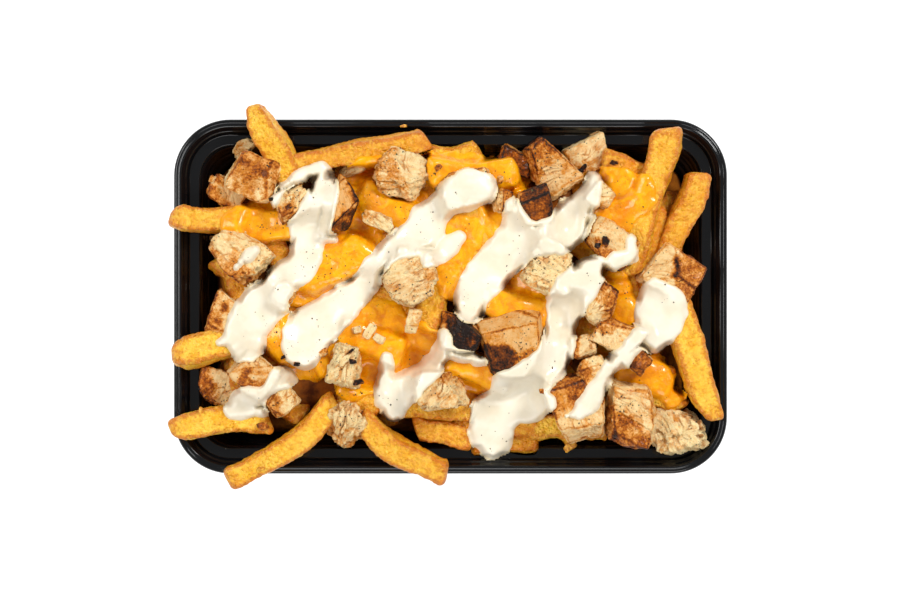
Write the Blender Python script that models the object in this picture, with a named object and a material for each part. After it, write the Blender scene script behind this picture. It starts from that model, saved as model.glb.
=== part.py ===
"""A rectangular black takeaway tray heaped with loaded fries.

The tray is one thin moulded shell. The fries, the melted cheese and the white sauce on them are one
heap that fills it, and each chunk of grilled chicken is a solid of its own, bedded in the heap.

Lengths are millimetres in the tray's own frame: X along the tray, Y across it, Z up, the origin at
the middle of the underside. mesh_object() turns them into metres.
"""

import math

import bmesh
import bpy
import numpy as np
from mathutils import Vector
from mathutils.bvhtree import BVHTree

MM = 0.001

# The tray's outer size at its rim
TRAY_LENGTH = 224.0
TRAY_WIDTH = 143.6
TRAY_HEIGHT = 44.0
CORNER_RADIUS = 23.0
SMALLEST_CORNER_RADIUS = 13.0
CORNER_STEPS = 6
FLOOR_THICKNESS = 1.2

# The flat ledge inside the rim: its height, and the inset of its inner edge, where the wall starts
LEDGE_HEIGHT = 39.1
LEDGE_INSET = 10.3

# Clearance between solids that touch in the real thing
GAP = 0.4

# The core of the heap: low at the wall, level over the middle, gently uneven
CORE_EDGE_HEIGHT = 25.0
CORE_TOP_HEIGHT = 43.0
CORE_RISE_LENGTH = 21.0
CORE_UNEVENNESS = 1.6
CORE_WAVE_LENGTH = 34.0
CORE_INSETS = (18.0, 21.0, 25.0, 30.0, 36.0, 46.0)

# Fries
FRY_SIDES = 8
FRY_RINGS = 5
FRY_SQUARENESS = 3.4
FRY_END_GROWTH = 2.6
FRY_SWELL = 0.07
FRY_SWELL_TURN = 7.0
FRY_SLANT = 0.3
FRY_ROLL = 0.25

# More fries, bedded in the core in all directions
FILLER_FRIES = 12
FILLER_SEED = 11
FILLER_AREA = (92.0, 52.0)
FILLER_HALF_LENGTHS = (20.0, 32.0)
FILLER_SHORTEST_HALF = 9.0
FILLER_SHORTENING = 1.5
FILLER_WALL_DISTANCE = 6.5

# Chicken: turns and rings of a chunk's skin, for chunks and for scraps shorter than SCRAP_LENGTH
CHUNK_SKIN = (9, 5)
SCRAP_SKIN = (7, 4)
SCRAP_LENGTH = 12.5
CHUNK_SHARPNESS = 9.0
# Chunks nearer to the wall than this are cut clear of the tray
CHUNK_WALL_REACH = 18.0
CHUNK_TILT = 0.2
CHUNK_CORNER_REACH = 0.4
CHUNK_CORNER_RISE = 0.8

# Sauce and cheese
STROKE_STEP = 8.0
SAUCE_THICKNESS = 2.6
CHEESE_THICKNESS = 2.4
STROKE_DEPTH = 3.5
# Across a stroke: the share of its half width, and the share of its thickness there
STROKE_CROWN = ((-1.0, 0.1), (-0.5, 0.95), (0.5, 0.95), (1.0, 0.1))
# A stroke's round end: how far it runs on and how wide it still is, as shares of the half width
STROKE_END_REACH = 0.6
STROKE_END_SIZE = 0.45
# The height under a stroke is a mean over places this far apart
STROKE_SAMPLE_STEP = 1.8

# Neighbouring faces that differ by less than this, in degrees, become one after a Boolean
UNION_MERGE_ANGLE = 7.0
CUT_MERGE_ANGLE = 0.5

# Fries that show: start, end (x, y, z), width, thickness, sideways bend, share of width at start and end
FRIES = [
    ((-79, 77, 52.5), (-62, 45, 50), 11.5, 9.5, 0.5, 0.50, 0.90),
    ((-64, 53, 50), (-9, 63.5, 50), 9.5, 9.5, 0.5, 0.90, 0.85),
    ((-113, 31, 50), (-82, 29, 50), 10.5, 9.5, -1.0, 0.55, 0.95),
    ((-95, 15, 39), (-80, -5, 41), 10.5, 9.5, -3.0, 0.80, 0.90),
    ((-112, -24, 50), (-76, -21, 49), 12.5, 9.5, -2.5, 0.60, 0.80),
    ((-113, -53, 50), (-72, -50, 48), 11.0, 9.5, -1.5, 0.60, 0.85),
    ((-90, -73.5, 51), (-46, -41, 49), 10.5, 10.0, 4.5, 0.85, 0.80),
    ((-1, -71, 51), (-36, -49, 48), 11.0, 10.0, -3.0, 0.85, 0.85),
    ((-15, -52, 42), (8, -56, 41), 10.0, 9.0, 1.0, 0.85, 0.80),
    ((-20, -45, 46), (9, -47, 46), 9.0, 9.0, -1.0, 0.80, 0.90),
    ((32, -54, 41), (50, -56, 41), 9.5, 9.0, -2.0, 0.80, 0.75),
    ((54, -53, 40), (64, -54, 40), 8.5, 8.5, 0.5, 0.80, 0.80),
    ((87, 68, 53), (69, 8, 49), 12.5, 10.0, -1.5, 0.75, 0.90),
    ((100, 50, 49), (85, 14, 47), 10.5, 10.0, -1.0, 0.85, 0.85),
    ((90, 2, 48), (107, -50, 50), 12.5, 10.0, 2.0, 0.85, 0.50),
    ((61, 56, 47), (82, 49, 46), 10.0, 9.0, 1.5, 0.80, 0.85),
    ((63, 45, 46), (78, 42, 45), 11.0, 9.5, 2.0, 0.80, 0.80),
    ((56, 29, 48), (76, 38, 49), 12.5, 10.0, 2.0, 0.75, 0.80),
    ((-9, 50, 49), (27, 50, 48), 11.0, 9.5, 1.5, 0.85, 0.80),
    ((-8, 57, 46), (12, 59, 45), 8.0, 8.5, 1.0, 0.80, 0.80),
    ((-1, 13, 52), (-10, -13, 52), 12.0, 10.0, 1.0, 0.80, 0.85),
    ((14, 0, 50), (40, -7, 50), 11.0, 10.0, 2.5, 0.80, 0.75),
    ((-2, -27, 49), (26, -34, 48), 12.0, 10.0, -2.0, 0.85, 0.80),
    ((69, 0, 47), (71, -12, 46), 9.5, 9.0, 0.5, 0.85, 0.80),
    ((68, -28, 44), (90, -34, 43), 12.0, 9.5, 1.0, 0.85, 0.80),
    ((80, -37, 42), (94, -45, 42), 9.0, 9.0, 1.0, 0.85, 0.75),
    ((-46, -39, 45), (-26, -42, 46), 10.0, 9.0, 1.0, 0.80, 0.85),
    ((-72, -7, 47), (-63, -26, 46), 10.0, 9.5, 1.0, 0.80, 0.80),
    ((-62, 5, 49), (-33, 21, 50), 13.0, 10.0, 1.0, 0.75, 0.80),
    ((-88, 29, 47), (-62, 30, 48), 13.0, 10.0, 1.5, 0.75, 0.80),
    ((5, 38, 47), (20, 20, 48), 11.0, 10.0, 1.0, 0.85, 0.80),
    ((-14, 31, 47), (10, 14, 49), 10.5, 9.5, -1.0, 0.80, 0.85),
    ((-44, -12, 48), (-19, -22, 49), 11.0, 10.0, 1.5, 0.80, 0.85),
    ((-36, 42, 47), (-12, 27, 48), 11.5, 10.0, 1.5, 0.80, 0.85),
]

# Chicken: centre x, y, height of the underside over the core, length, width, height, turn in degrees
CHICKEN = [
    (-78, 48, 6.0, 20.0, 16.0, 14.0, 155),
    (-90, 42, 4.0, 14.0, 11.0, 11.0, -35),
    (-84, 60, 14.5, 9.0, 5.5, 4.5, 45),
    (-63, 37, 7.0, 14.0, 11.0, 11.0, 20),
    (-42, 36, 9.0, 24.0, 9.0, 10.0, 66),
    (-20, 49, 8.0, 20.0, 18.0, 12.0, -30),
    (-29, 30, 12.0, 13.0, 5.5, 4.5, -12),
    (-85, 18, 6.5, 23.0, 16.0, 13.0, -40),
    (-16, 7, 9.0, 22.0, 18.0, 12.0, 70),
    (25, 55, 6.5, 14.0, 11.0, 12.0, -25),
    (39, 52, 7.0, 25.0, 15.0, 13.0, -50),
    (55, 57, 6.0, 16.0, 12.5, 12.0, 20),
    (33, 36, 9.0, 14.0, 12.5, 11.0, 105),
    (7, 43, 8.5, 21.0, 15.0, 11.0, 15),
    (21, 38, 8.0, 9.0, 6.5, 9.0, 70),
    (60, 40, 9.0, 9.0, 8.5, 9.0, 60),
    (64, 21, 8.5, 20.0, 13.0, 11.0, -30),
    (89, 9, 8.5, 25.0, 18.0, 12.0, -30),
    (39, 10, 9.5, 19.0, 16.0, 11.0, 65),
    (4, -15, 10.0, 16.5, 13.0, 12.0, -12),
    (25, -20, 10.5, 28.0, 23.0, 12.0, 100),
    (59, -3, 8.5, 18.0, 12.0, 11.0, 70),
    (66, -16, 9.5, 16.0, 12.5, 11.0, -28),
    (53, -20, 8.0, 10.0, 8.5, 9.0, 10),
    (57, -29, 8.5, 13.0, 9.0, 10.0, 25),
    (52, -44, 8.0, 27.0, 21.0, 13.0, 105),
    (73, -47, 6.5, 26.0, 19.0, 14.0, 80),
    (91, -54, 9.5, 22.0, 16.0, 11.0, 12),
    (76, -26, 9.0, 9.5, 8.0, 8.0, 40),
    (-90, -10, 7.0, 17.0, 15.0, 12.0, 60),
    (-93, -37, 5.5, 16.0, 14.0, 11.0, -20),
    (-78, -31, 9.0, 16.0, 14.0, 12.0, -35),
    (-67, -42, 8.0, 12.0, 10.0, 9.0, 35),
    (-42, -27, 10.0, 16.0, 11.0, 11.0, 82),
    (-42, -51, 10.0, 16.5, 15.5, 11.0, 30),
    (-4, -38, 9.5, 20.0, 13.0, 11.0, 10),
    (-40, 52, 9.0, 11.0, 6.0, 6.0, 15),
    (-15, -10, 12.0, 11.0, 5.0, 5.0, 78),
    (-67, 0, 9.0, 9.0, 8.0, 8.0, 50),
]

# White sauce: each stroke's points as x, y and half width
SAUCE = {
    "left_diagonal": [(-52, 50, 4), (-54, 39, 7), (-58, 28, 7.5), (-61, 18, 7), (-68, 8, 6.5),
                      (-76, -2, 8), (-81, -12, 9), (-76, -20, 6.5)],
    "left_finger": [(-48, 45, 4), (-49, 36, 4.5), (-51, 27, 4.5)],
    "left_arch": [(-68, 38, 3), (-62, 45, 3), (-54, 50, 4)],
    "left_toe": [(-88, -17, 3.5), (-80, -14, 6)],
    "second_diagonal": [(-20, 24, 6), (-27, 13, 6), (-37, 4, 7.5), (-49, -6, 10), (-59, -14, 10.5),
                        (-61, -22, 7.5)],
    "top_middle": [(2, 41, 7), (-5, 32, 8), (-12, 25, 7)],
    "top_middle_toe": [(6, 23, 5), (-2, 20, 4)],
    "smooth_cap": [(2, 41, 7), (8, 43, 8.5), (14, 43, 7)],
    "centre_diagonal": [(57, 46, 4), (54, 38, 6), (46, 29, 9), (34, 20, 9.5), (23, 13, 10), (13, 4, 9),
                        (8, -4, 5)],
    "centre_branch": [(23, 33, 4), (28, 24, 6)],
    "right_band": [(61, 14, 4.5), (56, 6, 7.5), (50, -2, 9), (46, -12, 9), (42, -22, 9), (34, -31, 9),
                   (23, -37, 8)],
    "pool": [(42, -47, 6), (32, -44, 9.5), (18, -45, 10.5), (17, -54, 8.5), (16, -60, 6)],
    "inner_stroke": [(-2, -20, 3), (-3, -27, 4), (-11, -32, 5), (-21, -39, 7.5), (-25, -45, 6)],
    "inner_finger": [(-25, -26, 4), (-25, -35, 5)],
    "right_pool": [(78, 3, 5), (83, -6, 10), (82, -15, 8), (82, -21, 4)],
    "right_tail": [(74, -17, 4.5), (69, -24, 5), (63, -31, 4)],
    "chunk_streak": [(60, -34, 3.5), (57, -40, 5), (50, -45, 5), (45, -48, 4)],
    "corner_chunk_blob": [(-84, 13, 3), (-78, 18, 3.5)],
    "lower_left": [(-67, -34, 5), (-73, -39, 5), (-81, -42, 6.5), (-86, -44, 5)],
    "right_chunk_hook": [(71, 21, 4), (69, 15, 4), (64, 13, 3.5)],
}

# Melted cheese where it lies thick over the fries
CHEESE = {
    "left_lump": [(-86, 28, 7), (-76, 31, 9.5), (-66, 30, 8)],
    "middle_lump": [(-58, 6, 7), (-49, 13, 9.5), (-39, 18, 8)],
    "upper_pool": [(-41, 28, 8), (-32, 36, 9), (-19, 38, 8)],
    "lower_pool": [(-42, -12, 8), (-30, -15, 9), (-18, -20, 8)],
    "right_lump": [(57, 29, 8), (66, 33, 9), (74, 38, 7)],
    "right_low_lump": [(70, -29, 7), (78, -31, 8)],
}


def mesh_object(name, points, faces):
    """A mesh object of these millimetre points, its faces turned outwards."""
    mesh = bpy.data.meshes.new(name)
    mesh.from_pydata([Vector(p) * MM for p in points], [], faces)
    shell = bmesh.new()
    shell.from_mesh(mesh)
    bmesh.ops.triangulate(shell, faces=[f for f in shell.faces if len(f.verts) > 3])
    bmesh.ops.recalc_face_normals(shell, faces=shell.faces)
    shell.to_mesh(mesh)
    shell.free()
    obj = bpy.data.objects.new(name, mesh)
    bpy.context.scene.collection.objects.link(obj)
    return obj


def ring_loft(rings):
    """Points and faces of a skin over equal rings of points, with a flat cap at each end."""
    count = len(rings[0])
    points = [tuple(p) for ring in rings for p in ring]
    faces = []
    for first in range(0, (len(rings) - 1) * count, count):
        for k in range(count):
            near, far = first + k, first + (k + 1) % count
            faces.append((near, far, far + count, near + count))
    faces.append(tuple(range(count))[::-1])
    faces.append(tuple((len(rings) - 1) * count + k for k in range(count)))
    return points, faces


def tray_ring(inset, height):
    """A rounded rectangle at this inset from the rim's outer edge, at a height or a function of x, y."""
    radius = max(CORNER_RADIUS - inset, SMALLEST_CORNER_RADIUS)
    centre_x = TRAY_LENGTH / 2 - inset - radius
    centre_y = TRAY_WIDTH / 2 - inset - radius
    ring = []
    for corner, (sign_x, sign_y) in enumerate([(1, 1), (-1, 1), (-1, -1), (1, -1)]):
        for step in range(CORNER_STEPS + 1):
            angle = math.pi / 2 * (corner + step / CORNER_STEPS)
            x = sign_x * centre_x + radius * math.cos(angle)
            y = sign_y * centre_y + radius * math.sin(angle)
            ring.append((x, y, height(x, y) if callable(height) else height))
    return ring


def tray_section():
    """The shell's closed section as inset and height: up the inside, over the rim, down the outside."""
    ledge = LEDGE_HEIGHT
    inside = [
        (24.0, FLOOR_THICKNESS),
        (20.4, FLOOR_THICKNESS + 0.4),
        (18.6, FLOOR_THICKNESS + 2.4),
        (15.3, 27.0),
        (14.2, 28.0),
        (11.4, ledge - 1.3),
        (LEDGE_INSET, ledge),
        (6.2, ledge),
        (5.4, ledge + 2.1),
        (4.6, ledge + 2.5),
        (3.7, TRAY_HEIGHT - 0.4),
        (2.7, TRAY_HEIGHT),
        (1.3, TRAY_HEIGHT),
        (0.3, TRAY_HEIGHT - 0.8),
        (0.0, TRAY_HEIGHT - 4.2),
    ]
    outside = [
        (0.9, TRAY_HEIGHT - 4.2),
        (1.2, TRAY_HEIGHT - 1.4),
        (2.8, TRAY_HEIGHT - 1.3),
        (5.2, ledge - 1.0),
        (10.2, ledge - 1.0),
        (13.2, 28.2),
        (14.2, 26.9),
        (17.6, 3.0),
        (19.6, 0.0),
    ]
    return inside + outside


def grown(section, distance):
    """The section moved outwards by a distance, each corner along the mean of its two edges' normals."""
    points = [Vector(p) for p in section]
    moved = [points[0] + Vector((0, distance))]
    for before, here, after in zip(points, points[1:], points[2:]):
        edges = [here - before, after - here]
        normals = [Vector((-edge.y, edge.x)).normalized() for edge in edges]
        bisector = (normals[0] + normals[1]).normalized()
        moved.append(here - bisector * distance / max(0.5, bisector.dot(normals[0])))
    moved.append(points[-1] - Vector((0, distance)))
    return moved


def tray_shell(name, section):
    return mesh_object(name, *ring_loft([tray_ring(inset, height) for inset, height in section]))


def wall_distance(x, y):
    """How far a place is from the top of the tray's inner wall, going inwards."""
    radius = SMALLEST_CORNER_RADIUS
    over_x = abs(x) - (TRAY_LENGTH / 2 - LEDGE_INSET - radius)
    over_y = abs(y) - (TRAY_WIDTH / 2 - LEDGE_INSET - radius)
    outside = math.hypot(max(over_x, 0), max(over_y, 0))
    return radius - outside - min(max(over_x, over_y), 0)


def core_height(x, y):
    """The core's top: an S-shaped rise from the wall, with two crossed waves for unevenness."""
    share = min(max(wall_distance(x, y) / CORE_RISE_LENGTH, 0), 1)
    rise = share * share * (3 - 2 * share)
    turn = 2 * math.pi / CORE_WAVE_LENGTH
    wave = math.sin(turn * (x + 0.4 * y)) * math.cos(turn * (0.8 * y - 0.3 * x))
    return CORE_EDGE_HEIGHT + (CORE_TOP_HEIGHT - CORE_EDGE_HEIGHT) * rise + CORE_UNEVENNESS * wave * rise


def heap_core():
    """The heap's inside: it follows the tray's wall up to its edge height, then its own top."""
    sides = [(21.0, FLOOR_THICKNESS + GAP), (19.3, 4.0), (16.2, CORE_EDGE_HEIGHT - 1.5)]
    rings = [tray_ring(inset, height) for inset, height in sides]
    rings += [tray_ring(inset, core_height) for inset in CORE_INSETS]
    return mesh_object("core", *ring_loft(rings))


def fry_mesh(start, end, width, thickness, bend, start_share, end_share, seed):
    """A fry: a rounded square carried along a bent line, uneven in width, with smaller slanted ends."""
    rng = np.random.default_rng(seed)
    start, end = Vector(start), Vector(end)
    along = end - start
    side = along.cross(Vector((0, 0, 1))).normalized()
    up = side.cross(along).normalized()
    phase = rng.uniform(0, 2 * math.pi)
    slant = rng.uniform(-FRY_SLANT, FRY_SLANT)
    roll = rng.uniform(-FRY_ROLL, FRY_ROLL)
    rings = []
    for share in np.linspace(0, 1, FRY_RINGS):
        centre = start + along * share + side * bend * 4 * share * (1 - share)
        end_share_here = start_share if share < 0.5 else end_share
        end_size = min(1, end_share_here + FRY_END_GROWTH * min(share, 1 - share))
        swell = end_size * (1 + FRY_SWELL * math.sin(phase + FRY_SWELL_TURN * share))
        ring = []
        for angle in np.linspace(0, 2 * math.pi, FRY_SIDES, endpoint=False):
            turned = angle + math.pi / FRY_SIDES
            cos, sin = math.cos(turned), math.sin(turned)
            reach = (abs(cos) ** FRY_SQUARENESS + abs(sin) ** FRY_SQUARENESS) ** (-1 / FRY_SQUARENESS)
            across = reach * swell * width / 2 * cos
            high = reach * swell * thickness / 2 * sin
            across, high = (
                across * math.cos(roll) - high * math.sin(roll),
                across * math.sin(roll) + high * math.cos(roll),
            )
            lean = slant * across if share in (0, 1) else 0
            ring.append(centre + side * across + up * high + along.normalized() * lean)
        rings.append(ring)
    return ring_loft(rings)


def filler_fries():
    """More fries bedded in the core in all directions, shortened until they clear the wall."""
    rng = np.random.default_rng(FILLER_SEED)
    made = []
    while len(made) < FILLER_FRIES:
        x, y = (rng.uniform(-reach, reach) for reach in FILLER_AREA)
        half, heading = rng.uniform(*FILLER_HALF_LENGTHS), rng.uniform(0, math.pi)
        width, thickness, bend = rng.uniform(9, 11.5), rng.uniform(8.5, 10.5), rng.uniform(-2.5, 2.5)
        lift = rng.uniform(0.0, 3.5)
        step_x, step_y = math.cos(heading), math.sin(heading)
        ends = []
        while half > FILLER_SHORTEST_HALF:
            ends = [(x + sign * half * step_x, y + sign * half * step_y) for sign in (-1, 1)]
            if min(wall_distance(*end) for end in ends) > FILLER_WALL_DISTANCE + abs(bend):
                break
            half -= FILLER_SHORTENING
        if half <= FILLER_SHORTEST_HALF:
            continue
        start, end = [(*e, core_height(*e) + lift) for e in ends]
        made.append((start, end, width, thickness, bend, 0.8, 0.8))
    return made


def chunk_mesh(place, seed, grow=0.0):
    """A cut chunk: a ball whose radius is a soft minimum of the distances to its seven cut planes."""
    x, y, lift, length, width, height, turn = place
    rng = np.random.default_rng(seed)
    normals = [Vector(n) for n in ((1, 0, 0), (-1, 0, 0), (0, 1, 0), (0, -1, 0), (0, 0, 1), (0, 0, -1))]
    reaches = [length / 2, length / 2, width / 2, width / 2, height / 2, height / 2]
    corner = Vector((rng.choice([-1, 1]), rng.choice([-1, 1]), CHUNK_CORNER_RISE)).normalized()
    normals.append(corner)
    box_reach = length * abs(corner.x) + width * abs(corner.y) + height * abs(corner.z)
    reaches.append(CHUNK_CORNER_REACH * box_reach)
    tilted = [(n + Vector(rng.uniform(-CHUNK_TILT, CHUNK_TILT, 3))).normalized() for n in normals]
    centre = Vector((x, y, core_height(x, y) + lift + height / 2))
    cos, sin = math.cos(math.radians(turn)), math.sin(math.radians(turn))

    def surface(azimuth, polar):
        # the rays point at a ball stretched like the chunk, so that its points spread evenly
        across_x = math.sin(polar) * math.cos(azimuth) * length
        across_y = math.sin(polar) * math.sin(azimuth) * width
        ray = Vector((across_x, across_y, math.cos(polar) * height)).normalized()
        push = sum((max(0, ray.dot(n)) / (r + grow)) ** CHUNK_SHARPNESS for n, r in zip(tilted, reaches))
        p = ray * push ** (-1 / CHUNK_SHARPNESS)
        return centre + Vector((p.x * cos - p.y * sin, p.x * sin + p.y * cos, p.z))

    count, ring_count = CHUNK_SKIN if length > SCRAP_LENGTH else SCRAP_SKIN
    polars = np.linspace(0, math.pi, ring_count + 1)[1:-1]
    turns = np.linspace(0, 2 * math.pi, count, endpoint=False)
    rings = [[surface(t, p) for t in turns] for p in polars]
    points = [surface(0, 0), *(p for ring in rings for p in ring), surface(0, math.pi)]
    last = len(points) - 1
    faces = [(0, 1 + k, 1 + (k + 1) % count) for k in range(count)]
    for r in range(len(rings) - 1):
        a, b = 1 + r * count, 1 + (r + 1) * count
        faces += [(a + k, b + k, b + (k + 1) % count, a + (k + 1) % count) for k in range(count)]
    faces += [(last, last - count + (k + 1) % count, last - count + k) for k in range(count)]
    return points, faces


def surface_below(objects):
    """A function that gives the highest point of these objects at a place, or the core's height."""
    trees = []
    for obj in objects:
        shell = bmesh.new()
        shell.from_mesh(obj.data)
        trees.append(BVHTree.FromBMesh(shell))
        shell.free()

    def top(x, y):
        start = Vector((x, y, 200)) * MM
        hits = [tree.ray_cast(start, Vector((0, 0, -1)))[0] for tree in trees]
        return max([h.z / MM for h in hits if h], default=core_height(x, y))

    return top


def stroke_mesh(stroke, thickness, top):
    """A stroke of sauce: a low crowned strip along a smooth line, each point of it laid on what is below.

    Its points hold x, y and the half width, and the line through them is a Catmull-Rom spline.
    """
    knots = [Vector(p) for p in stroke]
    knots = [2 * knots[0] - knots[1], *knots, 2 * knots[-1] - knots[-2]]
    line = []
    for before, a, b, after in zip(knots, knots[1:], knots[2:], knots[3:]):
        steps = max(1, round((b - a).xy.length / STROKE_STEP))
        for t in (k / steps for k in range(steps)):
            line.append(0.5 * (2 * a + (b - before) * t + (2 * before - 5 * a + 4 * b - after) * t * t
                               + (3 * a - before - 3 * b + after) * t ** 3))
    line.append(knots[-2])
    for end, near, place in ((line[0], line[1], 0), (line[-1], line[-2], len(line) + 1)):
        outwards = (end - near).xy.normalized() * end.z * STROKE_END_REACH
        line.insert(place, end + outwards.to_3d())
    step = STROKE_SAMPLE_STEP
    around = [(0, 0), (step, 0), (-step, 0), (0, step), (0, -step)]
    rings = []
    for k, here in enumerate(line):
        ahead = (line[min(k + 1, len(line) - 1)] - line[max(k - 1, 0)]).xy.normalized()
        across = Vector((-ahead.y, ahead.x))
        size = STROKE_END_SIZE if k in (0, len(line) - 1) else 1.0
        ring = []
        for share, crown in STROKE_CROWN:
            place = here.xy + across * share * size * here.z
            height = np.mean([top(place.x + dx, place.y + dy) for dx, dy in around])
            ring.append([place.x, place.y, height + crown * thickness * (0.5 + 0.5 * size)])
        floor = min(p[2] for p in ring) - STROKE_DEPTH
        ring += [[p[0], p[1], floor] for p in (ring[-1], ring[0])]
        rings.append(ring)
    rings = np.array(rings)
    tops = rings[:, :len(STROKE_CROWN), 2]
    tops[1:-1] = (tops[:-2] + 2 * tops[1:-1] + tops[2:]) / 4
    return ring_loft(rings.tolist())


def apply_boolean(obj, operation, tools):
    """Joins or cuts obj with closed tools and removes them, keeping obj's largest shell.

    Dropping the other shells fills any sealed hollow and removes any scrap that a cut left loose.
    """
    group = bpy.data.collections.new(operation.lower())
    for tool in tools:
        group.objects.link(tool)
    modifier = obj.modifiers.new(operation.title(), "BOOLEAN")
    modifier.operation = operation
    modifier.operand_type = "COLLECTION"
    modifier.collection = group
    modifier.solver = "MANIFOLD"
    graph = bpy.context.evaluated_depsgraph_get()
    joined = bpy.data.meshes.new_from_object(obj.evaluated_get(graph))
    obj.modifiers.clear()
    obj.data = joined
    for tool in tools:
        bpy.data.objects.remove(tool)
    bpy.data.collections.remove(group)
    keep_largest_shell(obj, UNION_MERGE_ANGLE if operation == "UNION" else CUT_MERGE_ANGLE)


def keep_largest_shell(obj, merge_angle):
    """Deletes every shell but the largest, then joins faces that differ by less than the angle."""
    shell = bmesh.new()
    shell.from_mesh(obj.data)
    shell.verts.ensure_lookup_table()
    seen, islands = set(), []
    for vertex in shell.verts:
        if vertex in seen:
            continue
        island, front = {vertex}, [vertex]
        while front:
            for edge in front.pop().link_edges:
                for other in edge.verts:
                    if other not in island:
                        island.add(other)
                        front.append(other)
        seen |= island
        islands.append(island)
    largest = max(islands, key=span)
    bmesh.ops.delete(shell, geom=[v for v in shell.verts if v not in largest], context="VERTS")
    limit = math.radians(merge_angle)
    bmesh.ops.dissolve_limit(shell, angle_limit=limit, verts=shell.verts, edges=shell.edges)
    bmesh.ops.triangulate(shell, faces=[f for f in shell.faces if len(f.verts) > 3])
    shell.to_mesh(obj.data)
    shell.free()


def span(vertices):
    """The volume of the box round these vertices."""
    corners = np.array([v.co for v in vertices])
    return np.prod(corners.max(0) - corners.min(0))


def boxes_meet(first, second):
    a, b = (np.array([v.co for v in o.data.vertices]) for o in (first, second))
    return bool((a.min(0) < b.max(0)).all() and (b.min(0) < a.max(0)).all())


def material(name, colour, roughness):
    made = bpy.data.materials.new(name)
    made.use_nodes = True
    shader = made.node_tree.nodes["Principled BSDF"]
    shader.inputs["Base Color"].default_value = (*colour, 1)
    shader.inputs["Roughness"].default_value = roughness
    shader.inputs["Metallic"].default_value = 0
    made.diffuse_color = (*colour, 1)
    return made


def build_chicken():
    """Every chunk, cut clear of the tray and of the chunks before it."""
    seasoned = material("grilled chicken", (0.62, 0.36, 0.17), 0.55)
    chunks = []
    for number, place in enumerate(CHICKEN, 1):
        chunk = mesh_object(f"chicken_{number:02d}", *chunk_mesh(place, number))
        tools = []
        if wall_distance(place[0], place[1]) < CHUNK_WALL_REACH:
            tools.append(tray_shell("cutter", grown(tray_section(), GAP)))
        for before, other in enumerate(chunks, 1):
            if boxes_meet(chunk, other):
                tools.append(mesh_object("cutter", *chunk_mesh(CHICKEN[before - 1], before, GAP)))
        if tools:
            apply_boolean(chunk, "DIFFERENCE", tools)
        chunk.data.materials.append(seasoned)
        chunks.append(chunk)
    return chunks


def build_heap(chunks):
    """Core, fries, cheese and sauce joined into one solid, then cut clear of the tray and the chicken."""
    heap = heap_core()
    fries = [
        mesh_object("fry", *fry_mesh(*fry, seed=number))
        for number, fry in enumerate(FRIES + filler_fries())
    ]
    top = surface_below([heap, *fries])
    cheese = [mesh_object("cheese", *stroke_mesh(s, CHEESE_THICKNESS, top)) for s in CHEESE.values()]
    top = surface_below([heap, *fries, *chunks, *cheese])
    sauce = [mesh_object("sauce", *stroke_mesh(s, SAUCE_THICKNESS, top)) for s in SAUCE.values()]
    apply_boolean(heap, "UNION", fries + cheese + sauce)
    clearances = [tray_shell("clearance", grown(tray_section(), GAP))]
    for number, place in enumerate(CHICKEN, 1):
        clearances.append(mesh_object("clearance", *chunk_mesh(place, number, GAP)))
    apply_boolean(heap, "DIFFERENCE", clearances)
    heap.name = "fries"
    heap.data.materials.append(material("golden fries", (0.85, 0.45, 0.07), 0.5))


def main():
    for obj in list(bpy.data.objects):
        bpy.data.objects.remove(obj)
    tray = tray_shell("tray", tray_section())
    tray.data.materials.append(material("black plastic", (0.012, 0.012, 0.013), 0.3))
    tray.data.shade_smooth()
    tray.data.set_sharp_from_angle(angle=math.radians(35))
    build_heap(build_chicken())


main()
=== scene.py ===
"""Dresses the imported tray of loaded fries.

The frame gives the tray, the chicken chunks and the heap at their real places. This script replaces
them with the tray's fine moulding, the fries, the melted cheese over them, the cut chicken, the white
sauce and the loose pepper, each as a surface worked out with numpy. Lengths in the tables are
millimetres in the frame's own axes; put_mesh turns them into metres.
"""

import functools

import bpy
import numpy as np
from bpy.props import FloatProperty, FloatVectorProperty, IntProperty, PointerProperty
from bpy.types import Operator, Panel, PropertyGroup
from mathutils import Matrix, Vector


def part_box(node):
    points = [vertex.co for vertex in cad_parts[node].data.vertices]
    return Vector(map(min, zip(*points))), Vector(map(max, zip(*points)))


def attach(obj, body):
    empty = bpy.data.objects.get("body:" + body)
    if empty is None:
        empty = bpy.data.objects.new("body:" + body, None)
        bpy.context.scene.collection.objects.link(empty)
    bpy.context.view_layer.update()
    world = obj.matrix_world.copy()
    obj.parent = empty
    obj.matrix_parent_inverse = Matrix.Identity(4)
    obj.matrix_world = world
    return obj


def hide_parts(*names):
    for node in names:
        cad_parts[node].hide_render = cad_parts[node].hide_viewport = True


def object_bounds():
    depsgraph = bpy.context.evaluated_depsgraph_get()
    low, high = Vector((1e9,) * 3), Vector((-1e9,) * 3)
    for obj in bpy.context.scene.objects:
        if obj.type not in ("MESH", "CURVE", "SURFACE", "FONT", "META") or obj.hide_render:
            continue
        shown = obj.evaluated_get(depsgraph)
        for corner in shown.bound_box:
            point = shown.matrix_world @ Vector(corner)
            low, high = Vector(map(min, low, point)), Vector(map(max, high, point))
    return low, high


bl_info = {
    "name": "Loaded fries tray",
    "version": (1, 0, 0),
    "blender": (4, 5, 0),
    "location": "View3D > Sidebar > Loaded fries",
    "description": "Makes a takeaway tray of fries with melted cheese, grilled chicken and white sauce",
    "category": "Add Mesh",
}

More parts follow.
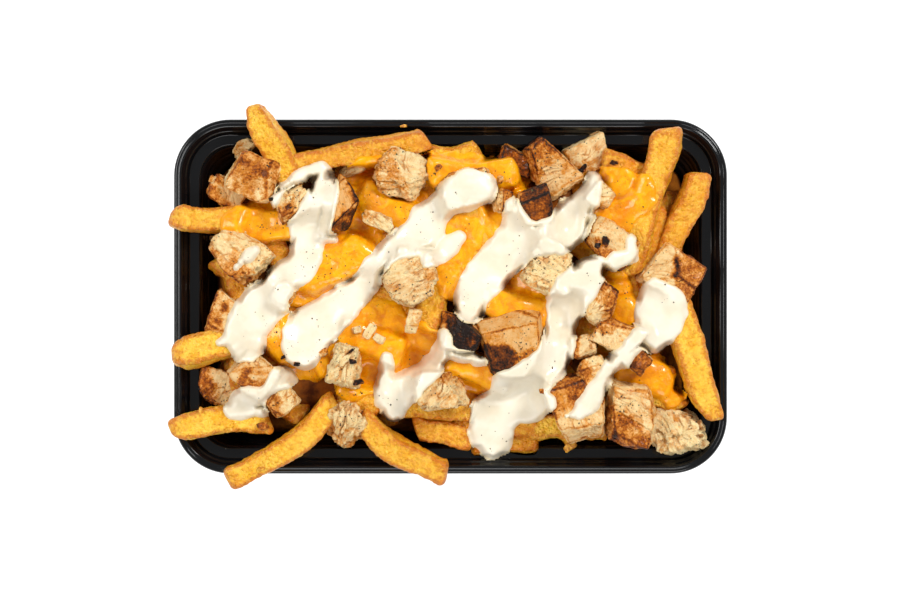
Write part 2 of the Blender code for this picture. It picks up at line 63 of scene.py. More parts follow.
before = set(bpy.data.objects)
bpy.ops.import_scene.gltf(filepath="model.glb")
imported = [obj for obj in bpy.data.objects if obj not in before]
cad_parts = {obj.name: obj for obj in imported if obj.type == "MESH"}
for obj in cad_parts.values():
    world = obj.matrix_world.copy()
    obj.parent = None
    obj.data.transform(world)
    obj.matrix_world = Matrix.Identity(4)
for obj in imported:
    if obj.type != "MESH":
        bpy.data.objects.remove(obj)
CAD_BOX = [list(corner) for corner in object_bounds()]
BODY = "root"
MM = 0.001

# The tray's outer size, from the frame
HALF_LENGTH, HALF_WIDTH, TRAY_HEIGHT = np.array(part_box("tray")[1]) / MM

# The photograph's size in pixels, the tray's centre in it, and millimetres to the pixel at the rim
PHOTO_SIZE = (900, 599)
PHOTO_TRAY_CENTRE = (450.5, 296.5)
PHOTO_SCALE = 0.4036
CAMERA_LENS = 110
CAMERA_SENSOR = 36

# The lights' places and sizes in metres and their power in watts
LIGHTS = {
    "key": ((0.7, 0.6, 1.0), 0.38, 13.5),
    "fill": ((-0.85, 0.25, 0.95), 0.6, 8.5),
    "front_fill": ((0.1, -0.95, 0.95), 0.7, 6.5),
}
STUDIO_BRIGHTNESS = 0.26
FLOOR_REACH = 3000.0
FLOOR_GREY = 0.4
FLOOR_GLOW = 0.9

# The tray's form
CORNER_RADIUS = 23.0
SMALLEST_CORNER_RADIUS = 13.0
CORNER_STEPS = 24
SIDE_STEPS = 40
FLOOR_THICKNESS = 1.2
FLOOR_MIDDLE_INSET = 24.0
LEDGE_HEIGHT = 39.1
LEDGE_INSET = 10.3
EDGE_ROUNDING = 0.5
TRAY_CLEARANCE = 0.15
# Small gate marks moulded across the rim: x along the far side, and their half width and depth
RIM_MARKS = (56.0, 65.5, 81.5)
RIM_MARK_HALF_WIDTH = 0.6
RIM_MARK_DEPTH = 0.35
RIM_MARK_INSET = 4.2
RIM_MARK_HEIGHT = 1.5

# The core that fills the tray under the fries
CORE_EDGE_HEIGHT = 25.0
CORE_TOP_HEIGHT = 43.0
CORE_RISE_LENGTH = 21.0
CORE_UNEVENNESS = 1.6
CORE_WAVE_LENGTH = 34.0
CORE_FLOOR_GAP = 0.4
CORE_TOP_INSET = 18.0
CORE_TOP_RINGS = 46
CORE_LUMP_HEIGHT = 1.2
CORE_LUMP_SIZE = 7.0

# Fries: start, end (x, y, z), width, thickness, sideways bend, share of width at start and end
FRIES = [
    ((-79, 77, 52.5), (-62, 45, 50), 11.5, 9.5, 0.5, 0.50, 0.90),
    ((-64, 53, 50), (-9, 63.5, 50), 9.5, 9.5, 0.5, 0.90, 0.85),
    ((-113, 31, 50), (-82, 29, 50), 10.5, 9.5, -1.0, 0.55, 0.95),
    ((-95, 15, 39), (-80, -5, 41), 10.5, 9.5, -3.0, 0.80, 0.90),
    ((-112, -24, 50), (-76, -21, 49), 12.5, 9.5, -2.5, 0.60, 0.80),
    ((-113, -53, 50), (-72, -50, 48), 11.0, 9.5, -1.5, 0.60, 0.85),
    ((-90, -73.5, 51), (-46, -41, 49), 10.5, 10.0, 4.5, 0.85, 0.80),
    ((-1, -71, 51), (-36, -49, 48), 11.0, 10.0, -3.0, 0.85, 0.85),
    ((-15, -52, 42), (8, -56, 41), 10.0, 9.0, 1.0, 0.85, 0.80),
    ((-20, -45, 46), (9, -47, 46), 9.0, 9.0, -1.0, 0.80, 0.90),
    ((32, -54, 41), (50, -56, 41), 9.5, 9.0, -2.0, 0.80, 0.75),
    ((54, -53, 40), (64, -54, 40), 8.5, 8.5, 0.5, 0.80, 0.80),
    ((87, 68, 53), (69, 8, 49), 12.5, 10.0, -1.5, 0.75, 0.90),
    ((100, 50, 49), (85, 14, 47), 10.5, 10.0, -1.0, 0.85, 0.85),
    ((90, 2, 48), (107, -50, 50), 12.5, 10.0, 2.0, 0.85, 0.50),
    ((61, 56, 47), (82, 49, 46), 10.0, 9.0, 1.5, 0.80, 0.85),
    ((63, 45, 46), (78, 42, 45), 11.0, 9.5, 2.0, 0.80, 0.80),
    ((56, 29, 48), (76, 38, 49), 12.5, 10.0, 2.0, 0.75, 0.80),
    ((-9, 50, 49), (27, 50, 48), 11.0, 9.5, 1.5, 0.85, 0.80),
    ((-8, 57, 46), (12, 59, 45), 8.0, 8.5, 1.0, 0.80, 0.80),
    ((-1, 13, 52), (-10, -13, 52), 12.0, 10.0, 1.0, 0.80, 0.85),
    ((14, 0, 50), (40, -7, 50), 11.0, 10.0, 2.5, 0.80, 0.75),
    ((-2, -27, 49), (26, -34, 48), 12.0, 10.0, -2.0, 0.85, 0.80),
    ((69, 0, 47), (71, -12, 46), 9.5, 9.0, 0.5, 0.85, 0.80),
    ((68, -28, 44), (90, -34, 43), 12.0, 9.5, 1.0, 0.85, 0.80),
    ((80, -37, 42), (94, -45, 42), 9.0, 9.0, 1.0, 0.85, 0.75),
    ((-46, -39, 45), (-26, -42, 46), 10.0, 9.0, 1.0, 0.80, 0.85),
    ((-72, -7, 47), (-63, -26, 46), 10.0, 9.5, 1.0, 0.80, 0.80),
    ((-62, 5, 49), (-33, 21, 50), 13.0, 10.0, 1.0, 0.75, 0.80),
    ((-88, 29, 47), (-62, 30, 48), 13.0, 10.0, 1.5, 0.75, 0.80),
    ((5, 38, 47), (20, 20, 48), 11.0, 10.0, 1.0, 0.85, 0.80),
    ((-14, 31, 47), (10, 14, 49), 10.5, 9.5, -1.0, 0.80, 0.85),
    ((-44, -12, 48), (-19, -22, 49), 11.0, 10.0, 1.5, 0.80, 0.85),
    ((-36, 42, 47), (-12, 27, 48), 11.5, 10.0, 1.5, 0.80, 0.85),
]
FRIES_OVER_RIM = 16
# How deep the colour of some fries is, from 0 for pale gold to 1 for orange. The others are drawn at random
FRY_TONES = {0: 0.3, 1: 0.75, 2: 0.5, 4: 0.2, 5: 0.2, 6: 0.35, 7: 0.5, 12: 0.5, 13: 0.7, 14: 0.3, 15: 1.0,
             16: 1.0}
TONE_RANGE = (0.2, 0.8)
# The buried fries' tone: deep orange as painted shade, so that they read brown in the gaps between the fries
BURIED_SHADE_TONE = 0.95
# How much deeper the colour is on the fries' sides and underside: partly browning, partly painted shade
SIDE_BROWNING_AND_SHADE = 0.6
FRY_SQUARENESS = 4.6
FRY_END_GROWTH = 2.6
FRY_SWELL = 0.07
FRY_SWELL_TURN = 7.0
FRY_SLANT = 0.5
FRY_ROLL = 0.25
FRY_ROLL_CHANGE = 0.35
FRY_WOBBLE = 0.05
FRY_EVENNESS = 0.55
# How sharp the long edges are, the share of the width over which an end is blunt, and how blunt it is
FRY_EDGE_SHARPNESS = 14
FRY_BLUNT_SHARE = 0.24
FRY_BLUNTNESS = 3.0
# Height and size of the relief's dents, ripples, grit and blisters, and how far its faces sink
FRY_DENTS = (0.30, 4.2)
FRY_RIPPLES = (0.20, 1.9)
FRY_GRIT = (0.15, 1.1)
FRY_BLISTERS = (0.55, 2.6)
FRY_BLISTER_GAP = 0.30
FRY_SUNK_SHARE = 0.028
# Rings and sides of the fries that show, those in the core and those on the height map
SHOWN_FRY_MESH = (96, 56)
BURIED_FRY_MESH = (44, 32)
MAPPED_FRY_MESH = (150, 110)

# Fries under the sauce's pool, where it runs to the tray's ledge
POOL_FRIES = [
    ((2, -53, 40), (36, -50, 41), 11.0, 9.5, 1.0, 0.85, 0.85),
    ((8, -59, 37.5), (36, -58, 37.5), 9.5, 8.5, 0.5, 0.85, 0.85),
    ((-78, -38, 40), (-58, -48, 40), 10.5, 9.5, 1.0, 0.85, 0.85),
    ((-92, 8, 37), (-88, 30, 39), 10.0, 9.0, 1.0, 0.85, 0.85),
]

# Fries bedded in the core in all directions
FILLER_SEED = 11
FILLER_AREA = (92.0, 52.0)
FILLER_HALF_LENGTHS = (20.0, 32.0)
FILLER_SHORTEST_HALF = 9.0
FILLER_SHORTENING = 1.5
FILLER_WALL_DISTANCE = 6.5
FILLER_WIDTHS = (9, 11.5)
FILLER_THICKNESSES = (8.5, 10.5)
FILLER_LARGEST_BEND = 2.5
FILLER_LARGEST_LIFT = 3.5
FILLER_END_SHARE = 0.8

# Chicken: centre x, y, height of the underside over the core, length, width, height, turn in degrees,
# then how seared it is, the bearing of its browned side (None for the top) and how ragged its cut is
CHICKEN = [
    (-78, 48, 6.0, 20.0, 16.0, 14.0, 155, 0.44, None, 0.5),
    (-90, 42, 4.0, 14.0, 11.0, 11.0, -35, 0.60, 200, 0.4),
    (-84, 60, 14.5, 9.0, 5.5, 4.5, 45, 0.25, 180, 0.9),
    (-63, 37, 7.0, 14.0, 11.0, 11.0, 20, 0.50, 250, 0.6),
    (-42, 36, 9.0, 24.0, 9.0, 10.0, 66, 0.90, -25, 0.3),
    (-20, 49, 8.0, 20.0, 18.0, 12.0, -30, 0.35, 170, 1.0),
    (-29, 30, 12.0, 13.0, 5.5, 4.5, -12, 0.25, 90, 0.8),
    (-85, 18, 6.5, 23.0, 16.0, 13.0, -40, 0.45, 250, 0.8),
    (-16, 7, 9.0, 22.0, 18.0, 12.0, 70, 0.30, 60, 1.0),
    (25, 55, 6.5, 14.0, 11.0, 12.0, -25, 0.75, None, 0.5),
    (39, 52, 7.0, 25.0, 15.0, 13.0, -50, 0.60, 120, 0.6),
    (55, 57, 6.0, 16.0, 12.5, 12.0, 20, 0.30, 250, 0.2),
    (33, 36, 9.0, 14.0, 12.5, 11.0, 105, 0.80, None, 0.2),
    (7, 43, 8.5, 21.0, 15.0, 11.0, 15, 0.50, 130, 0.5),
    (21, 38, 8.0, 9.0, 6.5, 9.0, 70, 0.60, 0, 0.6),
    (60, 40, 9.0, 9.0, 8.5, 9.0, 60, 0.25, 0, 0.4),
    (64, 21, 8.5, 20.0, 13.0, 11.0, -30, 0.60, 250, 0.4),
    (89, 9, 8.5, 25.0, 18.0, 12.0, -30, 0.55, 0, 0.4),
    (39, 10, 9.5, 19.0, 16.0, 11.0, 65, 0.15, 200, 1.0),
    (4, -15, 10.0, 16.5, 13.0, 12.0, -12, 1.00, None, 0.3),
    (25, -20, 10.5, 28.0, 23.0, 12.0, 100, 0.80, 240, 0.3),
    (59, -3, 8.5, 18.0, 12.0, 11.0, 70, 0.50, 0, 0.6),
    (66, -16, 9.5, 16.0, 12.5, 11.0, -28, 0.40, 80, 0.4),
    (53, -20, 8.0, 10.0, 8.5, 9.0, 10, 0.50, 180, 0.6),
    (57, -29, 8.5, 13.0, 9.0, 10.0, 25, 0.45, 200, 0.5),
    (52, -44, 8.0, 27.0, 21.0, 13.0, 105, 0.60, 110, 0.5),
    (73, -47, 6.5, 26.0, 19.0, 14.0, 80, 0.55, 230, 0.7),
    (91, -54, 9.5, 22.0, 16.0, 11.0, 12, 0.15, 180, 1.2),
    (76, -26, 9.0, 9.5, 8.0, 8.0, 40, 0.60, None, 0.6),
    (-90, -10, 7.0, 17.0, 15.0, 12.0, 60, 0.55, 180, 0.5),
    (-93, -37, 5.5, 16.0, 14.0, 11.0, -20, 0.55, 180, 0.5),
    (-78, -31, 9.0, 16.0, 14.0, 12.0, -35, 0.60, 260, 0.5),
    (-67, -42, 8.0, 12.0, 10.0, 9.0, 35, 0.45, 200, 0.4),
    (-42, -27, 10.0, 16.0, 11.0, 11.0, 82, 0.20, 0, 0.9),
    (-42, -51, 10.0, 16.5, 15.5, 11.0, 30, 0.30, 270, 1.1),
    (-4, -38, 9.5, 20.0, 13.0, 11.0, 10, 0.40, 90, 1.0),
    (-40, 52, 9.0, 11.0, 6.0, 6.0, 15, 0.25, 90, 0.7),
    (-15, -10, 12.0, 11.0, 5.0, 5.0, 78, 0.15, 0, 0.4),
    (-67, 0, 9.0, 9.0, 8.0, 8.0, 50, 0.40, None, 0.5),
]
CHUNK_SHARPNESS = 18.0
# The highest that a chunk rises, and how the sauce is flattened above that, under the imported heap's top
CHUNK_TOP = CAD_BOX[1][2] / MM - 0.9
SAUCE_FLATTENING = 0.5
CHUNK_MESH_STEP = 0.42
MAPPED_CHUNK_MESH = (110, 150)
CHUNK_TILT = 0.2
CHUNK_CORNER_REACH = 0.4
CHUNK_CORNER_RISE = 0.8
CHUNK_EXTRA_CUTS = 5
CHUNK_EXTRA_REACH = (0.80, 0.93)
CHUNK_EDGE_START = 0.90
# The meat's fibre: how far it is drawn out, its plates' and threads' sizes, and its cracks' width
FIBRE_SLOPE = 0.2
FIBRE_WAVER = (1.8, 6.0)
THREAD_DRAW = 0.86
PLATE_DRAW = 0.78
PLATE_SIZE = 2.3
CRACK_WIDTH = 0.17
CRACK_BREAK_SIZE = 5.0
THREAD_SIZES = (1.5, 0.75)
FINE_THREAD_SHARE = 0.6
LUMP_SHARE = 0.34
GRIT = (0.13, 0.9)
# The browned side's rise, and its patches
BROWNED_RISE = 0.05
SEAR_PATCH_SIZE = 4.5

# Loose bits of chicken and char on top: x, y, length, width, turn in degrees and how seared
CHICKEN_BITS = [
    (-38.2, -13.4, 5.0, 2.6, 10, 0.0), (-32.5, -14.0, 7.0, 3.6, 60, 0.0), (-28.2, -17.0, 6.0, 3.2, -30, 0.0),
    (-51.0, -22.5, 5.0, 3.2, 30, 0.5), (-39.5, -21.7, 3.0, 1.3, 30, 1.5), (-38.6, -25.8, 2.4, 1.6, 0, 1.5),
    (-36.5, -33.8, 4.5, 2.4, 10, 1.5), (-61.5, -27.0, 3.0, 1.6, 0, 1.5), (-67.0, -24.0, 2.5, 1.3, 20, 1.5),
    (-57.0, 47.4, 1.8, 1.2, 60, 1.5), (-71.0, 38.6, 1.8, 1.3, 20, 1.4), (53.0, 50.5, 6.5, 3.4, 45, 1.3),
    (66.0, 53.5, 3.6, 1.8, -20, 1.5), (61.5, 21.5, 4.5, 3.0, 80, 1.5), (58.5, 20.5, 3.0, 1.8, 10, 1.5),
    (-95.5, 47.0, 3.2, 2.4, 70, 0.4), (-97.0, 24.0, 3.4, 2.0, 0, 0.4), (-5.0, 51.5, 3.4, 2.4, 30, 0.5),
    (20.0, 46.5, 3.6, 2.2, 90, 0.5), (-75.0, -52.0, 4.5, 2.8, 20, 0.6), (36.5, -37.5, 2.6, 1.8, 0, 0.5),
]
# Crumbs of fry: x, y, length, width, turn in degrees
CRUMBS = [(-99.9, -45.5, 2.4, 1.5, 70), (-75.7, -68.6, 2.6, 1.4, 20), (48.3, -60.4, 7.0, 3.6, 38),
          (-19.0, 68.7, 2.6, 0.9, 5)]
BIT_HEIGHT = 2.0
BIT_SUNK_SHARE = 0.25
BIT_RAGGEDNESS = 0.5
BIT_MESH = (14, 22)
FIRST_BIT_SEED = 201
FIRST_CRUMB_SEED = 301

# The share of pepper that falls on the sauce, against the same area of cheese or chicken
PEPPER_ON_SAUCE = 0.3
PEPPER_SEED = 71
PEPPER_STEEPEST = 0.8
PEPPER_PATCH_SIZE = 14.0
PEPPER_LIFT = 0.02
FLAKE_RADII = (0.14, 0.34)
FLAKE_SQUASH = 0.55
FLAKE_STRETCH = (0.6, 1.3)
FLAKE_TILT = 0.5

# White sauce: each stroke's points as x, y and half width
SAUCE = {
    "left_diagonal": [(-51, 50, 4), (-54, 38, 4.5), (-57, 30, 6), (-57.5, 22, 7), (-60, 13, 6.5),
                      (-68, 5, 7), (-75, -4, 9), (-81, -12, 9), (-82, -18, 8.5)],
    "left_finger": [(-48.5, 46, 3), (-48.5, 38, 3.5), (-50.5, 27, 3.5)],
    "left_arch": [(-70, 38, 2.2), (-66, 44, 2.4), (-58, 49, 2.8), (-52, 51, 3.5)],
    "left_spur": [(-54, 24, 3), (-46.5, 23, 1.8)],
    "left_toe": [(-92, -19, 2.2), (-85, -16, 5)],
    "second_diagonal": [(-12, 25, 7), (-23, 19, 5.5), (-31, 11, 5), (-35, 4, 6), (-43, -3, 8),
                        (-52, -10, 9.5), (-58, -16, 10), (-60, -23, 7)],
    "top_middle": [(0, 40, 6), (-6, 34, 6.5), (-11, 26, 8)],
    "top_middle_toe": [(4, 24, 3), (-3, 18, 4), (-8, 15, 3)],
    "smooth_cap": [(3, 41, 7), (8, 42.5, 8), (12, 43, 7)],
    "centre_diagonal": [(58, 47, 3.2), (55, 40, 5.5), (49, 32, 7.5), (45, 25, 8), (35, 23, 7), (26, 22, 8.5),
                        (21, 16, 9), (15, 9, 9), (10, 3, 8), (7.5, -4, 6)],
    "centre_branch": [(24, 36, 3.2), (26, 28, 6)],
    "right_band": [(58, 12, 4.5), (53, 7, 7.5), (47, -1, 8), (45, -9, 6.8), (43, -17, 6.6), (40, -25, 7.5),
                   (33, -32, 8), (23, -36, 7)],
    "pool": [(38, -42.5, 4.0), (33, -43, 6.5), (24, -45, 8.5), (17, -48, 9.5), (17, -56, 8)],
    "drip": [(17, -56, 8), (16.5, -60.5, 5.5)],
    "inner_stroke": [(-3, -16, 2.2), (-4, -24, 3.4), (-9, -30, 4.4), (-17, -35.5, 6), (-23, -40, 7),
                     (-23, -45, 5)],
    "inner_finger": [(-25.5, -24, 2.8), (-26, -30, 3.4), (-26, -37, 5)],
    "inner_puddle": [(1, -23.5, 2.2), (7, -25, 2.9), (12, -25.5, 2)],
    "right_pool": [(81, 3.5, 4.5), (84, -4.5, 9.8), (82.5, -12, 9.2), (82, -19, 4)],
    "right_tail": [(75, -16, 4), (69, -23, 4.2), (64, -28, 3.4), (61, -32, 2.6)],
    "chunk_streak": [(61, -33.5, 2.4), (58.7, -36.8, 3.2), (55.8, -42, 4.2), (50.4, -46.3, 2.6),
                     (46.2, -47.5, 1.4)],
    "corner_chunk_blob": [(-77.5, 18.5, 2), (-81.5, 15, 2.8), (-85, 12.5, 1.6)],
    "lower_left": [(-67, -32.5, 4.6), (-74, -38, 3.2), (-81, -41.5, 6.2), (-88, -45, 3.6)],
    "lower_left_edge": [(-82, -44, 4), (-77, -46, 3.2)],
    "right_chunk_hook": [(72, 22, 2.6), (71.5, 16.5, 2.8), (65.5, 14, 4.2)],
}

# Melted cheese: each coat's points as x, y and half width
CHEESE = {
    "left_lump": [(-86, 28, 7), (-76, 31, 9.5), (-66, 30, 8)],
    "middle_lump": [(-62, 3, 7), (-49, 13, 10), (-36, 20, 9)],
    "upper_pool": [(-44, 26, 9), (-32, 36, 10), (-19, 36, 9), (-14, 28, 8)],
    "upper_edge": [(-36, 48, 5), (-30, 52, 5), (-6, 52, 6), (12, 50, 7), (26, 49, 6)],
    "lower_pool": [(-46, -12, 9), (-30, -13, 11), (-14, -20, 10), (0, -27, 9), (22, -36, 7)],
    "lower_left": [(-40, -34, 7), (-28, -28, 9), (-20, -36, 8)],
    "under_chunks": [(-72, -8, 7), (-66, -22, 7), (-54, -28, 6)],
    "centre": [(4, 24, 9), (-4, 12, 8), (16, 2, 9), (34, -6, 8), (18, 36, 7)],
    "right_lump": [(57, 27, 8), (66, 33, 9), (74, 39, 7)],
    "right_upper": [(62, 45, 7), (76, 43, 6)],
    "right_middle": [(66, 4, 7), (70, -8, 7), (66, -24, 7)],
    "right_low_lump": [(70, -29, 7), (82, -32, 8), (88, -40, 5)],
}

# The grid on which heights are kept, and the films laid over them
MAP_STEP = 0.5
MAP_MARGIN = 8.0
FAR_OUTSIDE = -60.0
STROKE_STEP = 1.5
RIM_WANDER_SIZES = (7.0, 3.4, 1.9)
FILM_UNDERSIDE = 0.8
FILM_OVERLAP = 0.9
FILM_SETTLING = 2.5
FILM_SAG = 0.4
FILM_RIM_SLOPE = 1.6


def smooth_step(low, high, value):
    """0 below low, 1 above high, and the curve 3t^2 - 2t^3 between."""
    share = np.clip((value - low) / (high - low), 0, 1)
    return share * share * (3 - 2 * share)


def hashed(cube, seed):
    """A whole number of 32 bits for each cube of a lattice, by multiplying and folding its numbers."""
    x, y, z = np.moveaxis(cube, -1, 0)
    mixed = (x * 374761393 + y * 668265263 + z * 1274126177 + seed * 974634777) & 0xFFFFFFFF
    return ((mixed ^ (mixed >> 13)) * 1103515245) & 0xFFFFFFFF


def lattice_noise(points, size, seed):
    """Noise from -1 to 1: hashed values at the corners of cubes of this size, blended by an S-curve."""
    place = np.asarray(points, float) / size
    cell = np.floor(place).astype(np.int64)
    part = place - cell
    part = part * part * (3 - 2 * part)
    total = np.zeros(place.shape[:-1])
    for corner in np.ndindex(2, 2, 2):
        mixed = hashed(cell + corner, seed)
        value = ((mixed ^ (mixed >> 16)) & 0xFFFF) / 32767.5 - 1
        total += value * np.prod(np.where(corner, part, 1 - part), axis=-1)
    return total


def layered_noise(points, size, seed, layers=3):
    """Lattice noise at this size plus halved copies at half the size each."""
    return sum(lattice_noise(points, size / 2**k, seed + k) / 2**k for k in range(layers))


def cells(points, size, seed):
    """Distance between the borders of jittered cells, 0 on a border, and a value from -1 to 1 for each.

    Each cube of the lattice holds one hashed point, and the border gap is the distance to the second
    nearest of them less the distance to the nearest.
    """
    place = np.asarray(points, float) / size
    cube = np.floor(place).astype(np.int64)
    nearest = np.full(place.shape[:-1], 9.0)
    second = nearest.copy()
    value = np.zeros(nearest.shape)
    for shift in np.ndindex(3, 3, 3):
        here = cube + np.array(shift) - 1
        mixed = hashed(here, seed)
        jitter = np.stack([(mixed >> k & 0xFF) / 255 for k in (0, 8, 16)], axis=-1)
        distance = np.linalg.norm(here + jitter - place, axis=-1)
        closer = distance < nearest
        second = np.where(closer, nearest, np.minimum(second, distance))
        value = np.where(closer, (mixed >> 20 & 0xFF) / 127.5 - 1, value)
        nearest = np.where(closer, distance, nearest)
    return second - nearest, value


def unit(vectors):
    """The vectors, each divided by its length."""
    return vectors / np.linalg.norm(vectors, axis=-1, keepdims=True)


def flat_points(*axes):
    """Stacks x, y and z arrays, or numbers, into points along a new last axis."""
    return np.stack(np.broadcast_arrays(*axes), axis=-1).astype(float)


def grid_quads(rows, columns, closed_rows=False, closed_columns=False):
    """Corner numbers of the quads of a grid whose points are numbered row by row."""
    row = np.arange(rows if closed_rows else rows - 1)[:, None]
    column = np.arange(columns if closed_columns else columns - 1)[None, :]
    next_row, next_column = (row + 1) % rows, (column + 1) % columns
    corners = [row * columns + column, row * columns + next_column,
               next_row * columns + next_column, next_row * columns + column]
    return np.stack(np.broadcast_arrays(*corners), axis=-1).reshape(-1, 4)


def capped_tube(rings):
    """Points, quads and triangles of a closed skin over rings of points, with a pole at each end."""
    rows, columns = rings.shape[:2]
    poles = np.stack([rings[0].mean(0), rings[-1].mean(0)])
    points = np.concatenate([rings.reshape(-1, 3), poles])
    first = np.arange(columns)
    last = first + (rows - 1) * columns
    near = np.stack([np.full(columns, rows * columns), np.roll(first, -1), first], axis=-1)
    far = np.stack([np.full(columns, rows * columns + 1), last, np.roll(last, -1)], axis=-1)
    return points, grid_quads(rows, columns, closed_columns=True), np.concatenate([near, far])


def with_poles(values):
    """Numbers or vectors on rings of points, followed by the two poles' own."""
    poles = np.stack([values[0].mean(axis=0), values[-1].mean(axis=0)])
    return np.concatenate([values.reshape(-1, *values.shape[2:]), poles])


def put_mesh(name, points, quads, triangles=None, attributes=None):
    """A smooth mesh object of these millimetre points, with a float attribute for each named array."""
    triangles = np.zeros((0, 3), int) if triangles is None else triangles
    mesh = bpy.data.meshes.new(name)
    mesh.vertices.add(len(points))
    mesh.vertices.foreach_set("co", (np.asarray(points) * MM).astype(np.float32).ravel())
    corners = np.concatenate([quads.ravel(), triangles.ravel()])
    mesh.loops.add(len(corners))
    mesh.loops.foreach_set("vertex_index", corners.astype(np.int32))
    starts = np.concatenate([np.arange(len(quads)) * 4, quads.size + np.arange(len(triangles)) * 3])
    mesh.polygons.add(len(starts))
    mesh.polygons.foreach_set("loop_start", starts.astype(np.int32))
    mesh.polygons.foreach_set("use_smooth", np.ones(len(starts), bool))
    for label, values in (attributes or {}).items():
        kind, field = ("FLOAT", "value") if np.ndim(values) == 1 else ("FLOAT_VECTOR", "vector")
        layer = mesh.attributes.new(label, kind, "POINT")
        layer.data.foreach_set(field, np.asarray(values, np.float32).ravel())
    mesh.update(calc_edges=True)
    mesh.validate()
    obj = bpy.data.objects.new(name, mesh)
    bpy.context.scene.collection.objects.link(obj)
    return obj


def join_skins(skins):
    """One set of points, quads, triangles and attributes from many."""
    points, quads, triangles, attributes = [], [], [], {}
    offset = 0
    for skin_points, skin_quads, skin_triangles, skin_attributes in skins:
        points.append(skin_points)
        quads.append(skin_quads + offset)
        triangles.append(skin_triangles + offset)
        for label, values in skin_attributes.items():
            attributes.setdefault(label, []).append(values)
        offset += len(skin_points)
    joined = {label: np.concatenate(values) for label, values in attributes.items()}
    return np.concatenate(points), np.concatenate(quads), np.concatenate(triangles), joined


def finish_piece(obj, material, slot, *nodes):
    """Gives the piece its material and its body, and hides the nodes it stands for. The slot is not used."""
    obj.data.materials.append(material)
    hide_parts(*nodes)
    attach(obj, BODY)


def rounded_rectangle(inset, steps=CORNER_STEPS, side_steps=SIDE_STEPS):
    """Plan points of a rounded rectangle at this inset from the rim, as a function of the path round it."""
    radius = max(CORNER_RADIUS - inset, SMALLEST_CORNER_RADIUS)
    radius = min(radius, HALF_WIDTH - inset - 0.05)
    centre = np.array([HALF_LENGTH, HALF_WIDTH]) - inset - radius
    arc = np.linspace(0, np.pi / 2, steps)
    along = np.linspace(0, 1, side_steps + 1, endpoint=False)[1:, None]
    corners = []
    for quarter, signs in enumerate(((1, 1), (-1, 1), (-1, -1), (1, -1))):
        angle = arc + quarter * np.pi / 2
        corners.append(centre * signs + radius * np.stack([np.cos(angle), np.sin(angle)], axis=-1))
    outline = []
    for here, after in zip(corners, corners[1:] + corners[:1]):
        outline += [here, here[-1] + (after[0] - here[-1]) * along]
    return np.concatenate(outline)


def rounded_section(corners, radius, steps=4):
    """A closed section with each corner replaced by a quadratic curve that starts radius before it."""
    here = np.array(corners, float)
    before, after = np.roll(here, 1, axis=0) - here, np.roll(here, -1, axis=0) - here
    reach = [np.minimum(radius, 0.45 * np.linalg.norm(edge, axis=1, keepdims=True))
             for edge in (before, after)]
    start, end = here + unit(before) * reach[0], here + unit(after) * reach[1]
    share = np.linspace(0, 1, steps)[:, None, None]
    curve = (1 - share) ** 2 * start + 2 * share * (1 - share) * here + share**2 * end
    return curve.transpose(1, 0, 2).reshape(-1, 2)


def inner_face():
    """Corners of the tray's inner face and rim as inset and height, from the floor up and outwards."""
    top, ledge, floor = TRAY_HEIGHT, LEDGE_HEIGHT, FLOOR_THICKNESS
    return [
        (20.4, floor + 0.4), (18.6, floor + 2.4), (15.3, 27.0), (14.2, 28.0), (13.5, 30.8), (12.9, 31.2),
        (12.5, 33.4), (12.1, 34.2), (11.4, ledge - 1.3), (LEDGE_INSET, ledge), (6.2, ledge),
        (5.4, ledge + 2.1), (4.6, ledge + 2.5), (3.7, top - 0.5), (3.1, top), (2.4, top), (2.0, top - 0.3),
        (1.6, top - 0.1), (1.1, top - 0.1), (0.3, top - 0.8), (0.0, top - 4.2),
    ]


def tray_section():
    """Corners of the shell's section as inset and height: up the inside, over the rim, down the outside."""
    top, ledge = TRAY_HEIGHT, LEDGE_HEIGHT
    outside = [
        (0.9, top - 4.2), (1.2, top - 1.4), (2.8, top - 1.3), (5.2, ledge - 1.0), (10.2, ledge - 1.0),
        (13.2, 28.2), (14.2, 26.9), (17.6, 3.0), (19.6, 0.0),
    ]
    return [(FLOOR_MIDDLE_INSET, FLOOR_THICKNESS), *inner_face(), *outside, (FLOOR_MIDDLE_INSET, 0.0)]


def tray_skin():
    """The tray as the section carried round rounded rectangles, one for each of the section's insets."""
    section = rounded_section(tray_section(), EDGE_ROUNDING)
    plan = np.stack([rounded_rectangle(inset) for inset in section[:, 0]])
    height = np.broadcast_to(section[:, 1, None], plan.shape[:2]).copy()
    on_rim = (section[:, 0, None] < RIM_MARK_INSET) & (plan[..., 1] > 0)
    on_rim = on_rim & (height > LEDGE_HEIGHT + RIM_MARK_HEIGHT)
    for place in RIM_MARKS:
        nearness = np.exp(-((plan[..., 0] - place) / RIM_MARK_HALF_WIDTH) ** 2)
        height -= np.where(on_rim, RIM_MARK_DEPTH * nearness, 0)
    rings = np.concatenate([plan, height[..., None]], axis=-1)
    return capped_tube(rings)


def wall_distance(x, y):
    """Signed distance from the top of the tray's inner wall, positive inwards."""
    radius = SMALLEST_CORNER_RADIUS
    over_x = np.abs(x) - (HALF_LENGTH - LEDGE_INSET - radius)
    over_y = np.abs(y) - (HALF_WIDTH - LEDGE_INSET - radius)
    outside = np.hypot(np.maximum(over_x, 0), np.maximum(over_y, 0))
    return radius - outside - np.minimum(np.maximum(over_x, over_y), 0)


def clear_of_tray(points):
    """The points, with those inside the tray's plastic raised to just over its inner face."""
    inset = LEDGE_INSET + wall_distance(points[..., 0], points[..., 1])
    insets, heights = np.array(inner_face()[::-1]).T
    lifted = points.copy()
    lifted[..., 2] = np.maximum(points[..., 2], np.interp(inset, insets, heights) + TRAY_CLEARANCE)
    return lifted


